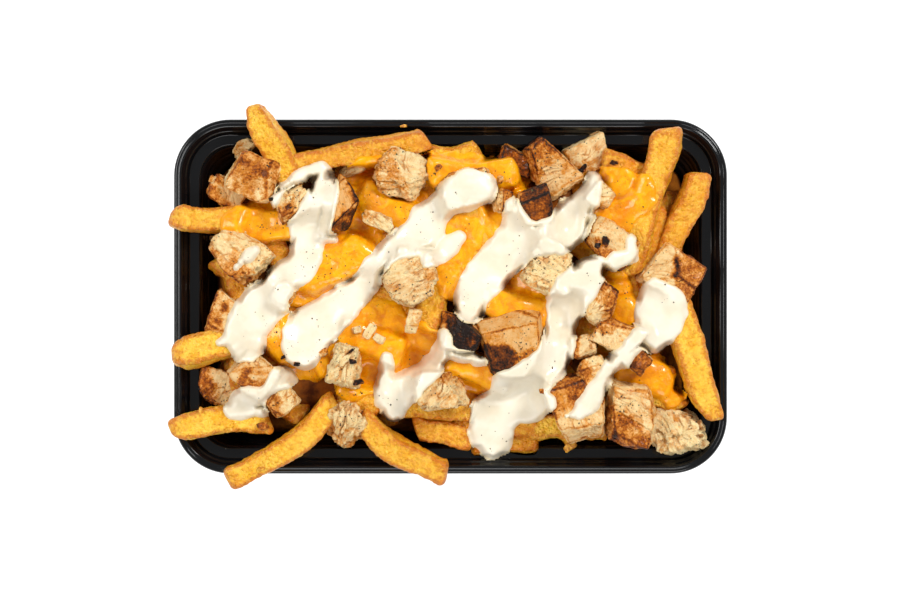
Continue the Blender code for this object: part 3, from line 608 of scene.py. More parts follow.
def core_height(x, y):
    """The core's top: an S-shaped rise from the wall, with two crossed waves for unevenness."""
    rise = smooth_step(0, CORE_RISE_LENGTH, wall_distance(x, y))
    turn = 2 * np.pi / CORE_WAVE_LENGTH
    wave = np.sin(turn * (x + 0.4 * y)) * np.cos(turn * (0.8 * y - 0.3 * x))
    return CORE_EDGE_HEIGHT + (CORE_TOP_HEIGHT - CORE_EDGE_HEIGHT) * rise + CORE_UNEVENNESS * wave * rise


def core_skin():
    """The core: rings that follow the tray's wall, then rings at its own uneven top."""
    floor = FLOOR_THICKNESS + CORE_FLOOR_GAP
    sides = [(40.0, floor), (21.0, floor), (19.3, 4.0), (16.2, CORE_EDGE_HEIGHT - 1.5)]
    rings = [flat_points(*rounded_rectangle(inset).T, height) for inset, height in sides]
    for inset in np.linspace(CORE_TOP_INSET, HALF_WIDTH - 0.6, CORE_TOP_RINGS):
        plan = rounded_rectangle(inset)
        ring = flat_points(*plan.T, core_height(*plan.T))
        ring[:, 2] += CORE_LUMP_HEIGHT * layered_noise(ring, CORE_LUMP_SIZE, 5)
        rings.append(ring)
    return capped_tube(np.stack(rings))


def fry_surface(fry, number, rings, sides):
    """A fry: a superellipse carried along a bowed line, with blunt slanted ends, sunk faces and blisters.

    The section's reach at an angle is (|cos|^n + |sin|^n)^(-1/n). Its size falls to a point at both ends
    by a curve that is blunt over a quarter of the width. Returns the rings and, for each point, how near
    it is to a long edge and to an end, and how deep its colour is: deeper on the buried fries as painted
    shade, and on the sides and underside as browning and painted shade both.
    """
    start, end, width, thickness, bend, start_share, end_share = fry
    rng = np.random.default_rng(number)
    phase = rng.uniform(0, 2 * np.pi)
    slant = rng.uniform(-FRY_SLANT, FRY_SLANT)
    roll = rng.uniform(-FRY_ROLL, FRY_ROLL)
    start, end = np.array(start, float), np.array(end, float)
    length = np.linalg.norm(end - start)
    forward = (end - start) / length
    side = unit(np.cross(forward, (0, 0, 1)))
    up = np.cross(side, forward)
    path = np.linspace(0, 1, rings + 2)[1:-1, None]
    share = FRY_EVENNESS * path + (1 - FRY_EVENNESS) * (0.5 - 0.5 * np.cos(np.pi * path))
    angle = np.linspace(0, 2 * np.pi, sides, endpoint=False)[None, :]
    near_end = np.minimum(share, 1 - share)
    end_share_here = start_share + (end_share - start_share) * smooth_step(0.45, 0.55, share)
    blunt = np.clip(near_end * length / (FRY_BLUNT_SHARE * width), 0, 1)
    size = np.minimum(1, end_share_here + FRY_END_GROWTH * near_end)
    size = size * (1 - (1 - blunt) ** FRY_BLUNTNESS) ** (1 / FRY_BLUNTNESS)
    size = size * (1 + FRY_SWELL * np.sin(phase + FRY_SWELL_TURN * share))
    turn = roll + FRY_ROLL_CHANGE * roll * np.cos(5 * share + phase)
    twist = angle + turn
    cos, sin = np.cos(angle), np.sin(angle)
    reach = (np.abs(cos) ** FRY_SQUARENESS + np.abs(sin) ** FRY_SQUARENESS) ** (-1 / FRY_SQUARENESS)
    edge = np.abs(np.sin(2 * angle)) ** FRY_EDGE_SHARPNESS * np.ones_like(share)
    across = reach * size * width / 2 * cos
    high = reach * size * thickness / 2 * sin
    across, high = across * np.cos(turn) - high * np.sin(turn), across * np.sin(turn) + high * np.cos(turn)
    lean = slant * across * smooth_step(0.5, 0.0, near_end * length / width)
    wobble = FRY_WOBBLE * width * np.sin(2 * np.pi * (1.3 * share + phase))
    bow = bend * 4 * share * (1 - share) + wobble
    line = start + (end - start) * share + side * bow
    points = line[:, None, :] + across[..., None] * side + high[..., None] * up + lean[..., None] * forward
    outward = np.cos(twist)[..., None] * side + np.sin(twist)[..., None] * up
    dents, ripples, grit, blisters = (
        lattice_noise(points, size, number + shift)
        for (_, size), shift in ((FRY_DENTS, 0), (FRY_RIPPLES, 50), (FRY_GRIT, 90), (FRY_BLISTERS, 130)))
    relief = FRY_DENTS[0] * dents + FRY_RIPPLES[0] * ripples
    relief += FRY_GRIT[0] * (1 + 1.5 * edge) * grit
    relief += FRY_BLISTERS[0] * np.maximum(blisters - FRY_BLISTER_GAP, 0)
    relief -= FRY_SUNK_SHARE * width * (1 - edge) * np.minimum(1, near_end * 6)
    points = clear_of_tray(points + outward * (relief * np.minimum(1, blunt + 0.2))[..., None])
    tip = smooth_step(0.6, 0.0, near_end * length / width) * np.ones_like(angle)
    # Buried fries take a deep tone as painted shade; the sides and underside are deepened as browning and
    # painted shade both
    tone = rng.uniform(*TONE_RANGE) if number < len(FRIES) else BURIED_SHADE_TONE
    tone = FRY_TONES.get(number, tone) + SIDE_BROWNING_AND_SHADE * smooth_step(0.5, -0.4, np.sin(twist))
    return points, {"edge": edge, "tip": tip, "tone": tone}


def filler_fries(count):
    """Fries bedded in the core in all directions, shortened until they clear the wall."""
    rng = np.random.default_rng(FILLER_SEED)
    made = []
    while len(made) < count:
        x, y = (rng.uniform(-reach, reach) for reach in FILLER_AREA)
        half, heading = rng.uniform(*FILLER_HALF_LENGTHS), rng.uniform(0, np.pi)
        width, thickness = rng.uniform(*FILLER_WIDTHS), rng.uniform(*FILLER_THICKNESSES)
        bend = rng.uniform(-FILLER_LARGEST_BEND, FILLER_LARGEST_BEND)
        lift = rng.uniform(0.0, FILLER_LARGEST_LIFT)
        step_x, step_y = np.cos(heading), np.sin(heading)
        ends = []
        while half > FILLER_SHORTEST_HALF:
            ends = [(x + sign * half * step_x, y + sign * half * step_y) for sign in (-1, 1)]
            if min(wall_distance(*end) for end in ends) > FILLER_WALL_DISTANCE + abs(bend):
                break
            half -= FILLER_SHORTENING
        if half <= FILLER_SHORTEST_HALF:
            continue
        start, end = [(*e, core_height(*e) + lift) for e in ends]
        made.append((start, end, width, thickness, bend, FILLER_END_SHARE, FILLER_END_SHARE))
    return made


def chunk_surface(chunk, seed, rings, turns):
    """A cut chunk: a ball whose radius is a soft minimum of the distances to its cut planes.

    The soft minimum is (sum (cos / reach)^n)^(-1/n) over the planes that the ray meets. Fibres are noise
    drawn out along one level direction, and the relief is deepest on the cut faces. Returns the rings and
    each point's searing, its nearness to a cut's edge, how deep it lies between the fibres (which the
    material darkens as painted shade), the chunk's own tone and roast, and its place drawn out along the
    fibre.
    """
    x, y, lift, length, width, height, turn, sear, bearing, rag = chunk
    rng = np.random.default_rng(seed)
    half = np.array([length, width, height]) / 2
    corner = unit(np.array([rng.choice([-1, 1]), rng.choice([-1, 1]), CHUNK_CORNER_RISE]))
    normals = np.array([(1, 0, 0), (-1, 0, 0), (0, 1, 0), (0, -1, 0), (0, 0, 1), (0, 0, -1), corner], float)
    reaches = np.append(np.repeat(half, 2), CHUNK_CORNER_REACH * np.abs(corner) @ (2 * half))
    normals = unit(normals + rng.uniform(-CHUNK_TILT, CHUNK_TILT, (7, 3)))

    def reach_of(rays, planes, distances):
        facing = np.maximum(rays @ planes.T, 0) / distances
        terms = facing**CHUNK_SHARPNESS
        return terms.sum(-1) ** (-1 / CHUNK_SHARPNESS), facing

    extra = unit(rng.normal(size=(CHUNK_EXTRA_CUTS, 3)) * half)
    extra_reach = reach_of(extra, normals, reaches)[0] * rng.uniform(*CHUNK_EXTRA_REACH, CHUNK_EXTRA_CUTS)
    normals, reaches = np.vstack([normals, extra]), np.append(reaches, extra_reach)

    polar = np.linspace(0, np.pi, rings + 2)[1:-1, None]
    azimuth = np.linspace(0, 2 * np.pi, turns, endpoint=False)[None, :]
    rays = flat_points(np.sin(polar) * np.cos(azimuth), np.sin(polar) * np.sin(azimuth), np.cos(polar))
    rays = unit(rays * half)
    radius, facing = reach_of(rays, normals, reaches)
    ranked = np.sort(facing, axis=-1)
    edge = smooth_step(CHUNK_EDGE_START, 1.0, ranked[..., -2] / ranked[..., -1])
    points = rays * radius[..., None]

    heading = rng.uniform(0, np.pi)
    fibre = unit(np.array([np.cos(heading), np.sin(heading), rng.uniform(-FIBRE_SLOPE, FIBRE_SLOPE)]))
    waver, waver_size = FIBRE_WAVER
    wavering = points + waver * flat_points(*(lattice_noise(points, waver_size, seed + k) for k in (3, 4, 5)))
    along = (wavering @ fibre)[..., None] * fibre
    drawn = wavering - THREAD_DRAW * along
    gap, offset = cells(wavering - PLATE_DRAW * along, PLATE_SIZE, seed + 7)
    broken = smooth_step(-0.25, 0.35, lattice_noise(points, CRACK_BREAK_SIZE, seed + 9))
    cracks = smooth_step(CRACK_WIDTH, 0.0, gap) * broken
    coarse, fine = (lattice_noise(drawn, size, seed + k) for k, size in enumerate(THREAD_SIZES, 17))
    threads = coarse + FINE_THREAD_SHARE * fine
    lumps = layered_noise(points, LUMP_SHARE * min(length, width), seed + 27)
    relief = 0.04 * min(length, width) * (0.35 + rag) * lumps - (0.14 + 0.55 * rag) * cracks
    relief = relief + (0.06 + 0.85 * rag**2) * offset + (0.10 + 0.32 * rag) * threads
    relief = relief + GRIT[0] * lattice_noise(points, GRIT[1], seed + 47) - 0.04 * min(half) * edge * rag
    points = points + rays * relief[..., None]

    cos, sin = np.cos(np.radians(turn)), np.sin(np.radians(turn))
    about_z = np.array([[cos, sin, 0], [-sin, cos, 0], [0, 0, 1]])
    outward = rays @ about_z
    centre = np.array([x, y, core_height(x, y) + lift + height / 2])
    world = points @ about_z + centre
    world[..., 2] -= max(0, world[..., 2].max() - CHUNK_TOP)
    world = clear_of_tray(world)
    if bearing is None:
        browned = np.array([0, 0, 1.0])
    else:
        bearing = np.radians(bearing)
        browned = unit(np.array([np.cos(bearing), np.sin(bearing), BROWNED_RISE]))
    patches = layered_noise(world, SEAR_PATCH_SIZE, seed + 57)
    toward = outward @ browned
    searing = sear * (0.2 + 0.8 * smooth_step(-0.25, 0.65, toward + 0.45 * patches)) + 0.30 * sear * edge
    searing = np.clip(searing + 0.12 * patches, 0, 1)
    # How deep each point lies in cracks and low places; the material paints shade there
    depth = 0.7 * cracks + 0.35 * smooth_step(0.1, -0.9, threads) + 0.3 * smooth_step(0.2, -0.8, lumps)
    tone, roast = np.full(edge.shape, rng.uniform(0, 1)), np.full(edge.shape, sear)
    return world, {"sear": searing, "edge": edge, "depth": np.clip(depth, 0, 1), "tone": tone, "roast": roast,
                   "grain": drawn}


def skin_of(surface):
    """A closed skin and its attributes from rings of points and ring-shaped attributes."""
    points, attributes = surface
    skin = capped_tube(points)
    return (*skin, {label: with_poles(values) for label, values in attributes.items()})


@functools.cache
def map_axes():
    """The x and y of the height maps' rows and columns."""
    reach_x, reach_y = HALF_LENGTH + MAP_MARGIN, HALF_WIDTH + MAP_MARGIN
    return np.arange(-reach_x, reach_x, MAP_STEP), np.arange(-reach_y, reach_y, MAP_STEP)


def map_places(height=0.0):
    """Points of the height maps' grid at this height, one number or a map."""
    return flat_points(*np.meshgrid(*map_axes(), indexing="ij"), height)


def highest(point_sets):
    """A map of the highest point in each square, from sets of dense points, widened by one square."""
    xs, ys = map_axes()
    heights = np.zeros((len(xs), len(ys)))
    for points in point_sets:
        flat = points.reshape(-1, 3)
        column = np.clip(np.rint((flat[:, 0] - xs[0]) / MAP_STEP).astype(int), 0, len(xs) - 1)
        row = np.clip(np.rint((flat[:, 1] - ys[0]) / MAP_STEP).astype(int), 0, len(ys) - 1)
        np.maximum.at(heights, (column, row), flat[:, 2])
    return widened(heights, 1)


def widened(field, squares):
    """Each square's value becomes the largest of those within this many squares along each axis."""
    for axis in (0, 1):
        shifts = [np.roll(field, k, axis) for k in range(-squares, squares + 1)]
        field = np.maximum.reduce(shifts)
    return field


def blurred(field, spread):
    """The field blurred by a Gaussian of this spread in millimetres, by its Fourier transform."""
    waves = [np.fft.fftfreq(n, MAP_STEP) for n in field.shape]
    falloff = np.exp(-2 * (np.pi * spread) ** 2 * (waves[0][:, None] ** 2 + waves[1][None, :] ** 2))
    return np.fft.ifft2(np.fft.fft2(field) * falloff).real


def smooth_line(knots, step):
    """Points of a Catmull-Rom curve through the knots, about a step apart."""
    knots = np.array(knots, float)
    knots = np.vstack([2 * knots[0] - knots[1], knots, 2 * knots[-1] - knots[-2]])
    line = []
    for before, a, b, after in zip(knots, knots[1:], knots[2:], knots[3:]):
        count = max(2, int(np.linalg.norm((b - a)[:2]) / step))
        t = np.linspace(0, 1, count, endpoint=False)[:, None]
        line.append(0.5 * (2 * a + (b - before) * t + (2 * before - 5 * a + 4 * b - after) * t**2
                           + (3 * a - before - 3 * b + after) * t**3))
    return np.vstack([*line, knots[-2:-1]])


def reach_inside(strokes, softness, wander, seed):
    """Signed distance inside a soft union of round brushes drawn along the strokes, and their crown.

    The union is k log(sum(exp(d / k))) over the brushes' own signed distances d, its rim wandering by
    noise. The crown is 1 along a stroke's middle and falls to 0 at its rim as a half ellipse, so that
    strokes side by side keep a valley between them.
    """
    places = map_places()
    grid_x, grid_y = places[..., 0], places[..., 1]
    total = np.full(grid_x.shape, FAR_OUTSIDE)
    crown = np.zeros(grid_x.shape)
    for stroke in strokes.values():
        inside = np.full(grid_x.shape, FAR_OUTSIDE)
        for x, y, radius in smooth_line(stroke, STROKE_STEP):
            distance = np.hypot(grid_x - x, grid_y - y)
            inside = np.maximum(inside, radius - distance)
            crown = np.maximum(crown, 1 - (distance / radius) ** 2)
        total = softness * np.logaddexp(total / softness, inside / softness)
    wandering = sum(lattice_noise(places, size, seed) * size / 7 for size in RIM_WANDER_SIZES)
    return total + wander * wandering, np.sqrt(crown)


@functools.cache
def fries_map():
    """Heights of the tray, the core and every fry."""
    fries = FRIES + POOL_FRIES + filler_fries(bpy.context.scene.loaded_fries.filler_count)
    dense = [fry_surface(fry, number, *MAPPED_FRY_MESH)[0] for number, fry in enumerate(fries)]
    section = rounded_section(tray_section(), EDGE_ROUNDING)
    given, wanted = np.linspace(0, 1, len(section)), np.linspace(0, 1, 400)
    insets, heights = (np.interp(wanted, given, column) for column in section.T)
    tray = [flat_points(*rounded_rectangle(i, 60, 500).T, h) for i, h in zip(insets, heights)]
    grid_x, grid_y = np.meshgrid(*map_axes(), indexing="ij")
    core = np.where(wall_distance(grid_x, grid_y) > 5, core_height(grid_x, grid_y), 0)
    return highest([*tray, *dense, map_places(core)])


@functools.cache
def chicken_map():
    """Heights of the chunks alone."""
    return highest([chunk_surface(chunk, number, *MAPPED_CHUNK_MESH)[0]
                    for number, chunk in enumerate(CHICKEN, 1)])


def film_over(ground, inside, thickness, bead, closing, spread):
    """Heights of a film's top: the ground with its gaps bridged, blurred, plus a round-rimmed thickness.

    The thickness follows a quarter circle over the bead's width. Outside, the film dips under the ground,
    so that its visible rim is the curve where the two meet.
    """
    closed = -widened(-widened(ground, closing), closing)
    bridged = blurred(closed, spread)
    settle = smooth_step(0, FILM_SETTLING, inside)
    base = ground + (np.maximum(bridged, ground - FILM_SAG) - ground) * settle
    share = np.clip(inside / bead, 0, 1)
    crown = np.sqrt(1 - (1 - share) ** 2)
    return base + thickness * crown + FILM_RIM_SLOPE * np.minimum(inside, 0)


@functools.cache
def cheese_film():
    """The cheese's reach inside its rim, and its top."""
    ground = fries_map()
    inside, crown = reach_inside(CHEESE, softness=1.5, wander=1.6, seed=21)
    places = map_places()
    swells, dimples = lattice_noise(places, 6.0, 23), lattice_noise(places, 2.2, 24)
    thickness = 0.9 + 0.5 * crown + 0.5 * swells + 0.2 * dimples
    top = film_over(ground, inside, thickness, bead=1.8, closing=3, spread=1.1)
    return inside, blurred(top, 0.4)


@functools.cache
def dressed_map():
    """Heights under the white sauce: tray, core, fries, cheese and chicken."""
    inside, cheese = cheese_film()
    ground = np.maximum(fries_map(), chicken_map())
    return np.where(inside > 0, np.maximum(ground, cheese), ground)


def top_map():
    """Heights of everything, the sauce too."""
    inside, sauce = sauce_film()
    return np.where(inside > 0, np.maximum(sauce, dressed_map()), dressed_map())


def bit_skin(bit, seed):
    """A small chunk that rests on whatever lies under its middle."""
    x, y, length, width, turn, sear = bit
    xs, ys = map_axes()
    resting = top_map()[np.abs(xs - x).argmin(), np.abs(ys - y).argmin()] - BIT_SUNK_SHARE * BIT_HEIGHT
    lift = resting - core_height(x, y)
    chunk = (x, y, lift, length, width, BIT_HEIGHT, turn, sear, None, BIT_RAGGEDNESS)
    return skin_of(chunk_surface(chunk, seed, *BIT_MESH))


@functools.cache
def sauce_film():
    """The sauce's reach inside its rim, and its top."""
    sizes = bpy.context.scene.loaded_fries
    ground = dressed_map()
    inside, crown = reach_inside(SAUCE, softness=0.6, wander=1.1, seed=31)
    places = map_places()
    ripple = 0.14 * lattice_noise(places, 7.5, 33) + 0.12 * lattice_noise(places, 3.4, 34)
    depth = sizes.sauce_thickness / MM * (0.45 + 0.55 * crown) + ripple
    top = blurred(film_over(ground, inside, depth, bead=1.3, closing=9, spread=2.4), 0.3)
    return inside, top - SAUCE_FLATTENING * np.maximum(top - CHUNK_TOP, 0)


def film_skin(inside, top, underside, ground):
    """A closed skin of a film: the grid's squares inside its rim, at its top and its underside.

    Walls close it where a square inside meets one outside. Each point keeps how thick the film is there.
    """
    kept = inside > -FILM_OVERLAP
    cells = kept[:-1, :-1] & kept[1:, :-1] & kept[:-1, 1:] & kept[1:, 1:]
    number = np.arange(kept.size).reshape(kept.shape)
    corners = np.stack([number[:-1, :-1], number[1:, :-1], number[1:, 1:], number[:-1, 1:]], axis=-1)
    upper = corners[cells]
    padded = np.pad(cells, 1)
    walls = []
    rows, columns = cells.shape
    for shift_x, shift_y, a, b in ((-1, 0, 3, 0), (1, 0, 1, 2), (0, -1, 0, 1), (0, 1, 2, 3)):
        neighbour = padded[1 + shift_x:1 + shift_x + rows, 1 + shift_y:1 + shift_y + columns]
        rim = corners[cells & ~neighbour]
        walls.append(np.stack([rim[:, b], rim[:, a], rim[:, a] + kept.size, rim[:, b] + kept.size], axis=-1))
    quads = np.concatenate([upper, upper[:, ::-1] + kept.size, *walls])
    upper_points = clear_of_tray(map_places(top).reshape(-1, 3))
    lower_points = clear_of_tray(map_places(np.minimum(top, ground) - underside).reshape(-1, 3))
    lower_points[:, 2] = np.minimum(lower_points[:, 2], upper_points[:, 2] - TRAY_CLEARANCE / 2)
    used, renumbered = np.unique(quads, return_inverse=True)
    points = np.concatenate([upper_points, lower_points])[used]
    film = np.concatenate([(top - ground).ravel(), np.zeros(kept.size)])[used]
    return points, renumbered.reshape(-1, 4), {"film": film}


def flake_skins(places, radii, squash, seed):
    """Flattened octahedra at these places, each turned at random. One set of points and triangles."""
    rng = np.random.default_rng(seed)
    count = len(places)
    corners = np.array([(1, 0, 0), (0, 1, 0), (-1, 0, 0), (0, -1, 0), (0, 0, 1), (0, 0, -1)], float)
    faces = np.array([(0, 1, 4), (1, 2, 4), (2, 3, 4), (3, 0, 4), (1, 0, 5), (2, 1, 5), (3, 2, 5), (0, 3, 5)])
    stretched = corners[None] * rng.uniform(*FLAKE_STRETCH, (count, 6, 1)) * [1, 1, squash]
    angle = rng.uniform(0, 2 * np.pi, count)
    tilt = rng.uniform(-FLAKE_TILT, FLAKE_TILT, count)
    cos, sin, zero, one = np.cos(angle), np.sin(angle), np.zeros(count), np.ones(count)
    about_z = np.stack([cos, -sin, zero, sin, cos, zero, zero, zero, one], axis=-1).reshape(-1, 3, 3)
    cos, sin = np.cos(tilt), np.sin(tilt)
    about_x = np.stack([one, zero, zero, zero, cos, -sin, zero, sin, cos], axis=-1).reshape(-1, 3, 3)
    turned = np.einsum("nij,njk,nvk->nvi", about_z, about_x, stretched)
    points = places[:, None, :] + turned * radii[:, None, None]
    triangles = faces[None] + 6 * np.arange(count)[:, None, None]
    tone = np.repeat(rng.uniform(0, 1, count), 6)
    return points.reshape(-1, 3), triangles.reshape(-1, 3), {"tone": tone}


class Wire:
    """An output socket of a node, with arithmetic that adds Math nodes."""

    def __init__(self, looks, socket):
        self.looks = looks
        self.socket = socket

    def math(self, operation, *values):
        return self.looks.node("ShaderNodeMath", {"operation": operation}, dict(enumerate((self, *values))))

    def clamped(self):
        return self.looks.node("ShaderNodeMath", {"operation": "ADD", "use_clamp": True}, {0: self, 1: 0.0})

    def between(self, low, high):
        """0 at low, 1 at high, smooth between."""
        settings = {"interpolation_type": "SMOOTHSTEP"}
        sockets = {"Value": self, "From Min": low, "From Max": high}
        return self.looks.node("ShaderNodeMapRange", settings, sockets)

    def __add__(self, other):
        return self.math("ADD", other)

    __radd__ = __add__

    def __mul__(self, other):
        return self.math("MULTIPLY", other)

    __rmul__ = __mul__

    def __sub__(self, other):
        return self.math("SUBTRACT", other)

    def __rsub__(self, other):
        return self.looks.node("ShaderNodeMath", {"operation": "SUBTRACT"}, {0: other, 1: self})

    def __lt__(self, other):
        return self.math("LESS_THAN", other)


class Looks:
    """A material being written: its node tree, its Principled shader and the nodes that feed it."""

    def __init__(self, name, constants):
        self.material = bpy.data.materials.new(name)
        self.material.use_nodes = True
        self.tree = self.material.node_tree
        self.shader = self.tree.nodes["Principled BSDF"]
        for socket, value in constants.items():
            self.shader.inputs[socket].default_value = value

    def node(self, kind, settings=None, sockets=None, output=0):
        """Adds a node, sets its settings first and then its sockets' values or links."""
        made = self.tree.nodes.new(kind)
        for setting, value in (settings or {}).items():
            if setting == "stops":
                self.set_stops(made.color_ramp, value)
            else:
                setattr(made, setting, value)
        for socket, value in (sockets or {}).items():
            self.feed(made.inputs[socket], value)
        return Wire(self, made.outputs[output])

    def feed(self, socket, value):
        if isinstance(value, Wire):
            self.tree.links.new(value.socket, socket)
        else:
            socket.default_value = value

    def set_stops(self, ramp, stops):
        while len(ramp.elements) < len(stops):
            ramp.elements.new(1.0)
        for element, (position, colour) in zip(ramp.elements, stops):
            element.position = position
            element.color = (*colour, 1.0)

    def place(self):
        return self.node("ShaderNodeTexCoord", output="Object")

    def attribute(self, label, output="Fac"):
        return self.node("ShaderNodeAttribute", {"attribute_name": label}, output=output)

    def noise(self, size, detail=3.0, roughness=0.5, distortion=0.0):
        """Noise over the object, its features about this many millimetres apart."""
        sockets = {"Vector": self.place(), "Scale": 1 / (size * MM), "Detail": detail,
                   "Roughness": roughness, "Distortion": distortion}
        return self.node("ShaderNodeTexNoise", {}, sockets)

    def grain(self, size, detail=3.0, roughness=0.6):
        """Noise drawn out along the meat's fibres, its threads about this many millimetres apart."""
        sockets = {"Vector": self.attribute("grain", "Vector"), "Scale": 1 / size, "Detail": detail,
                   "Roughness": roughness}
        return self.node("ShaderNodeTexNoise", {}, sockets)

    def cells(self, size, output="Distance"):
        """Distance to the nearest of scattered points, or the random colour of the cell round it."""
        sockets = {"Vector": self.place(), "Scale": 1 / (size * MM)}
        return self.node("ShaderNodeTexVoronoi", {}, sockets, output)

    def mix(self, share, first, second):
        """A colour between two colours."""
        sockets = {"Factor": share, 6: rgba(first), 7: rgba(second)}
        return self.node("ShaderNodeMix", {"data_type": "RGBA"}, sockets, output=2)

    def specks(self, size, reach, kept):
        """1 inside small soft dots of mixed sizes, one in each kept cell of this size."""
        colour = self.cells(size, "Color")
        chance = self.node("ShaderNodeSeparateColor", {}, {"Color": colour}, output="Red")
        scale = self.node("ShaderNodeSeparateColor", {}, {"Color": colour}, output="Green")
        radius = (scale * 0.8 + 0.2) * reach
        return self.cells(size).between(radius * 1.5, radius * 0.5) * (chance < kept)

    def bump(self, height, distance, strength=1.0):
        sockets = {"Height": height, "Distance": distance * MM, "Strength": strength}
        return self.node("ShaderNodeBump", {}, sockets)

    def write(self, **sockets):
        """Links varying values to the shader's sockets and returns the material."""
        for label, value in sockets.items():
            self.feed(self.shader.inputs[label.replace("_", " ")], value)
        return self.material


def rgba(colour):
    """A colour socket's value from a property or a tuple; a Wire passes through."""
    return colour if isinstance(colour, Wire) else (*tuple(colour)[:3], 1.0)


def srgb(red, green, blue):
    """Linear colour from 0 to 255 display values."""
    display = np.array([red, green, blue]) / 255
    return tuple(np.where(display <= 0.04045, display / 12.92, ((display + 0.055) / 1.055) ** 2.4))


def plastic_looks():
    """Gloss black plastic with faint scuffs and dust."""
    looks = Looks("black_plastic", {"IOR": 1.5, "Specular IOR Level": 0.46})
    scuffs = looks.noise(2.5, 5.0, 0.7).between(0.52, 0.75)
    dust = looks.specks(4.0, 0.07, 0.25)
    colour = looks.mix(dust * 0.6, srgb(12, 13, 15), srgb(110, 108, 100))
    grain = looks.noise(0.35, 2.0)
    return looks.write(Base_Color=colour, Roughness=0.11 + 0.16 * scuffs + 0.4 * dust,
                       Normal=looks.bump(grain + scuffs, 0.02, 0.3))


def fry_looks():
    """Fried potato: golden faces with pale and deep patches, browned edges and tips, oily blisters."""
    colours = bpy.context.scene.loaded_fries
    looks = Looks("fried_potato", {"Subsurface Weight": 0.08, "Subsurface Radius": (0.003, 0.002, 0.0008),
                                   "Subsurface Scale": 0.4, "Specular IOR Level": 0.5})
    patches = looks.noise(7.0, 4.0, 0.6)
    fine = looks.noise(1.4, 4.0, 0.65)
    tone = looks.attribute("tone")
    edge = looks.attribute("edge")
    tip = looks.attribute("tip")
    golden = looks.mix((patches * 0.6 + fine * 0.5).between(0.38, 0.70), colours.fry_pale, colours.fry_golden)
    # The tone deepens the colour at random per fry, and on the sides, underside and buried fries as painted
    # shade (partly browning on the sides)
    golden = looks.mix((tone * 0.8 + fine * 0.4).between(0.25, 1.05) * 0.85, golden, colours.fry_deep)
    toast = (edge * 0.75 + tip * 0.45 + fine * 1.3 + patches * 0.6).between(0.95, 1.60)
    toasted = looks.mix(toast * 0.80, golden, colours.fry_toasted)
    spots = looks.noise(2.2, 3.0, 0.7).between(0.52, 0.70)
    toasted = looks.mix(spots * 0.7, toasted, colours.fry_deep)
    crust = looks.noise(2.6, 4.0, 0.65)
    toasted = looks.mix(crust.between(0.50, 0.64) * 0.40, toasted, colours.fry_deep)
    toasted = looks.mix(crust.between(0.50, 0.38) * 0.40, toasted, colours.fry_pale)
    flecks = looks.specks(2.2, 0.13, 0.25)
    toasted = looks.mix(flecks * 0.7, toasted, colours.fry_toasted)
    blisters = looks.cells(1.6)
    height = blisters.between(0.55, 0.05) * 0.5 + fine * 1.2 + crust * 2.0
    return looks.write(Base_Color=toasted, Roughness=0.16 + 0.30 * fine, Normal=looks.bump(height, 0.75, 1.0))


def core_looks():
    """The potato deep in the heap, its dark browns painted shade for fries in shadow."""
    looks = Looks("painted_shade_potato", {"Roughness": 0.6, "Specular IOR Level": 0.2})
    patches = looks.noise(6.0, 4.0, 0.6)
    # Painted shade: dark browns standing for the fries in shadow under the heap
    return looks.write(Base_Color=looks.mix(patches.between(0.35, 0.65), srgb(84, 38, 6), srgb(150, 84, 14)),
                       Normal=looks.bump(patches, 1.2, 0.7))


def cheese_looks():
    """Melted cheese: glossy orange, paler where it is stretched thin, with creamy swirls."""
    colours = bpy.context.scene.loaded_fries
    looks = Looks("melted_cheese", {"Subsurface Weight": 0.10, "Subsurface Radius": (0.003, 0.002, 0.0005),
                                    "Subsurface Scale": 0.5, "Coat Weight": 0.5, "Coat Roughness": 0.05,
                                    "Specular IOR Level": 0.2})
    swirl = looks.noise(6.0, 4.0, 0.55, 1.2)
    streak = looks.noise(3.0, 3.0, 0.6, 2.0)
    film = looks.attribute("film")
    colour = looks.mix(swirl.between(0.35, 0.65), colours.cheese_deep, colours.cheese_bright)
    colour = looks.mix(streak.between(0.56, 0.74) * 0.7, colour, colours.cheese_cream)
    colour = looks.mix(film.between(2.6, 0.2) * 0.35, colour, colours.fry_golden)
    pepper = looks.specks(2.8, 0.13, 0.22)
    colour = looks.mix(pepper * 0.9, colour, srgb(96, 36, 6))
    height = looks.noise(2.2, 4.0, 0.6) + looks.noise(0.7, 2.0) * 0.25
    return looks.write(Base_Color=colour, Roughness=0.18 + 0.22 * streak,
                       Normal=looks.bump(height, 0.50, 0.7))


def sauce_looks():
    """White garlic sauce: creamy and smooth, warmer where it is thin, with dark and green specks, and random
    clouds of painted shade.
    """
    colours = bpy.context.scene.loaded_fries
    looks = Looks("garlic_sauce", {"Subsurface Weight": 0.12, "Subsurface Radius": (0.003, 0.0025, 0.0018),
                                   "Subsurface Scale": 0.6, "Coat Weight": 0.25, "Coat Roughness": 0.12})
    film = looks.attribute("film")
    cloud = looks.noise(9.0, 3.0, 0.5)
    # Random clouds of a shaded copy of the sauce colour: painted shade
    colour = looks.mix(cloud.between(0.35, 0.7), colours.sauce_white, colours.sauce_shade)
    colour = looks.mix(film.between(0.8, 0.0) * 0.45, colour, colours.sauce_thin)
    dark = looks.specks(2.6, 0.085, 0.30)
    green = looks.specks(4.1, 0.06, 0.25)
    colour = looks.mix(dark * 0.75, colour, srgb(70, 62, 48))
    colour = looks.mix(green * 0.7, colour, srgb(98, 110, 52))
    height = looks.noise(1.8, 4.0, 0.6) * 1.6 + dark * 0.4
    return looks.write(Base_Color=colour, Roughness=0.26 + 0.18 * cloud, Normal=looks.bump(height, 0.12, 0.5))


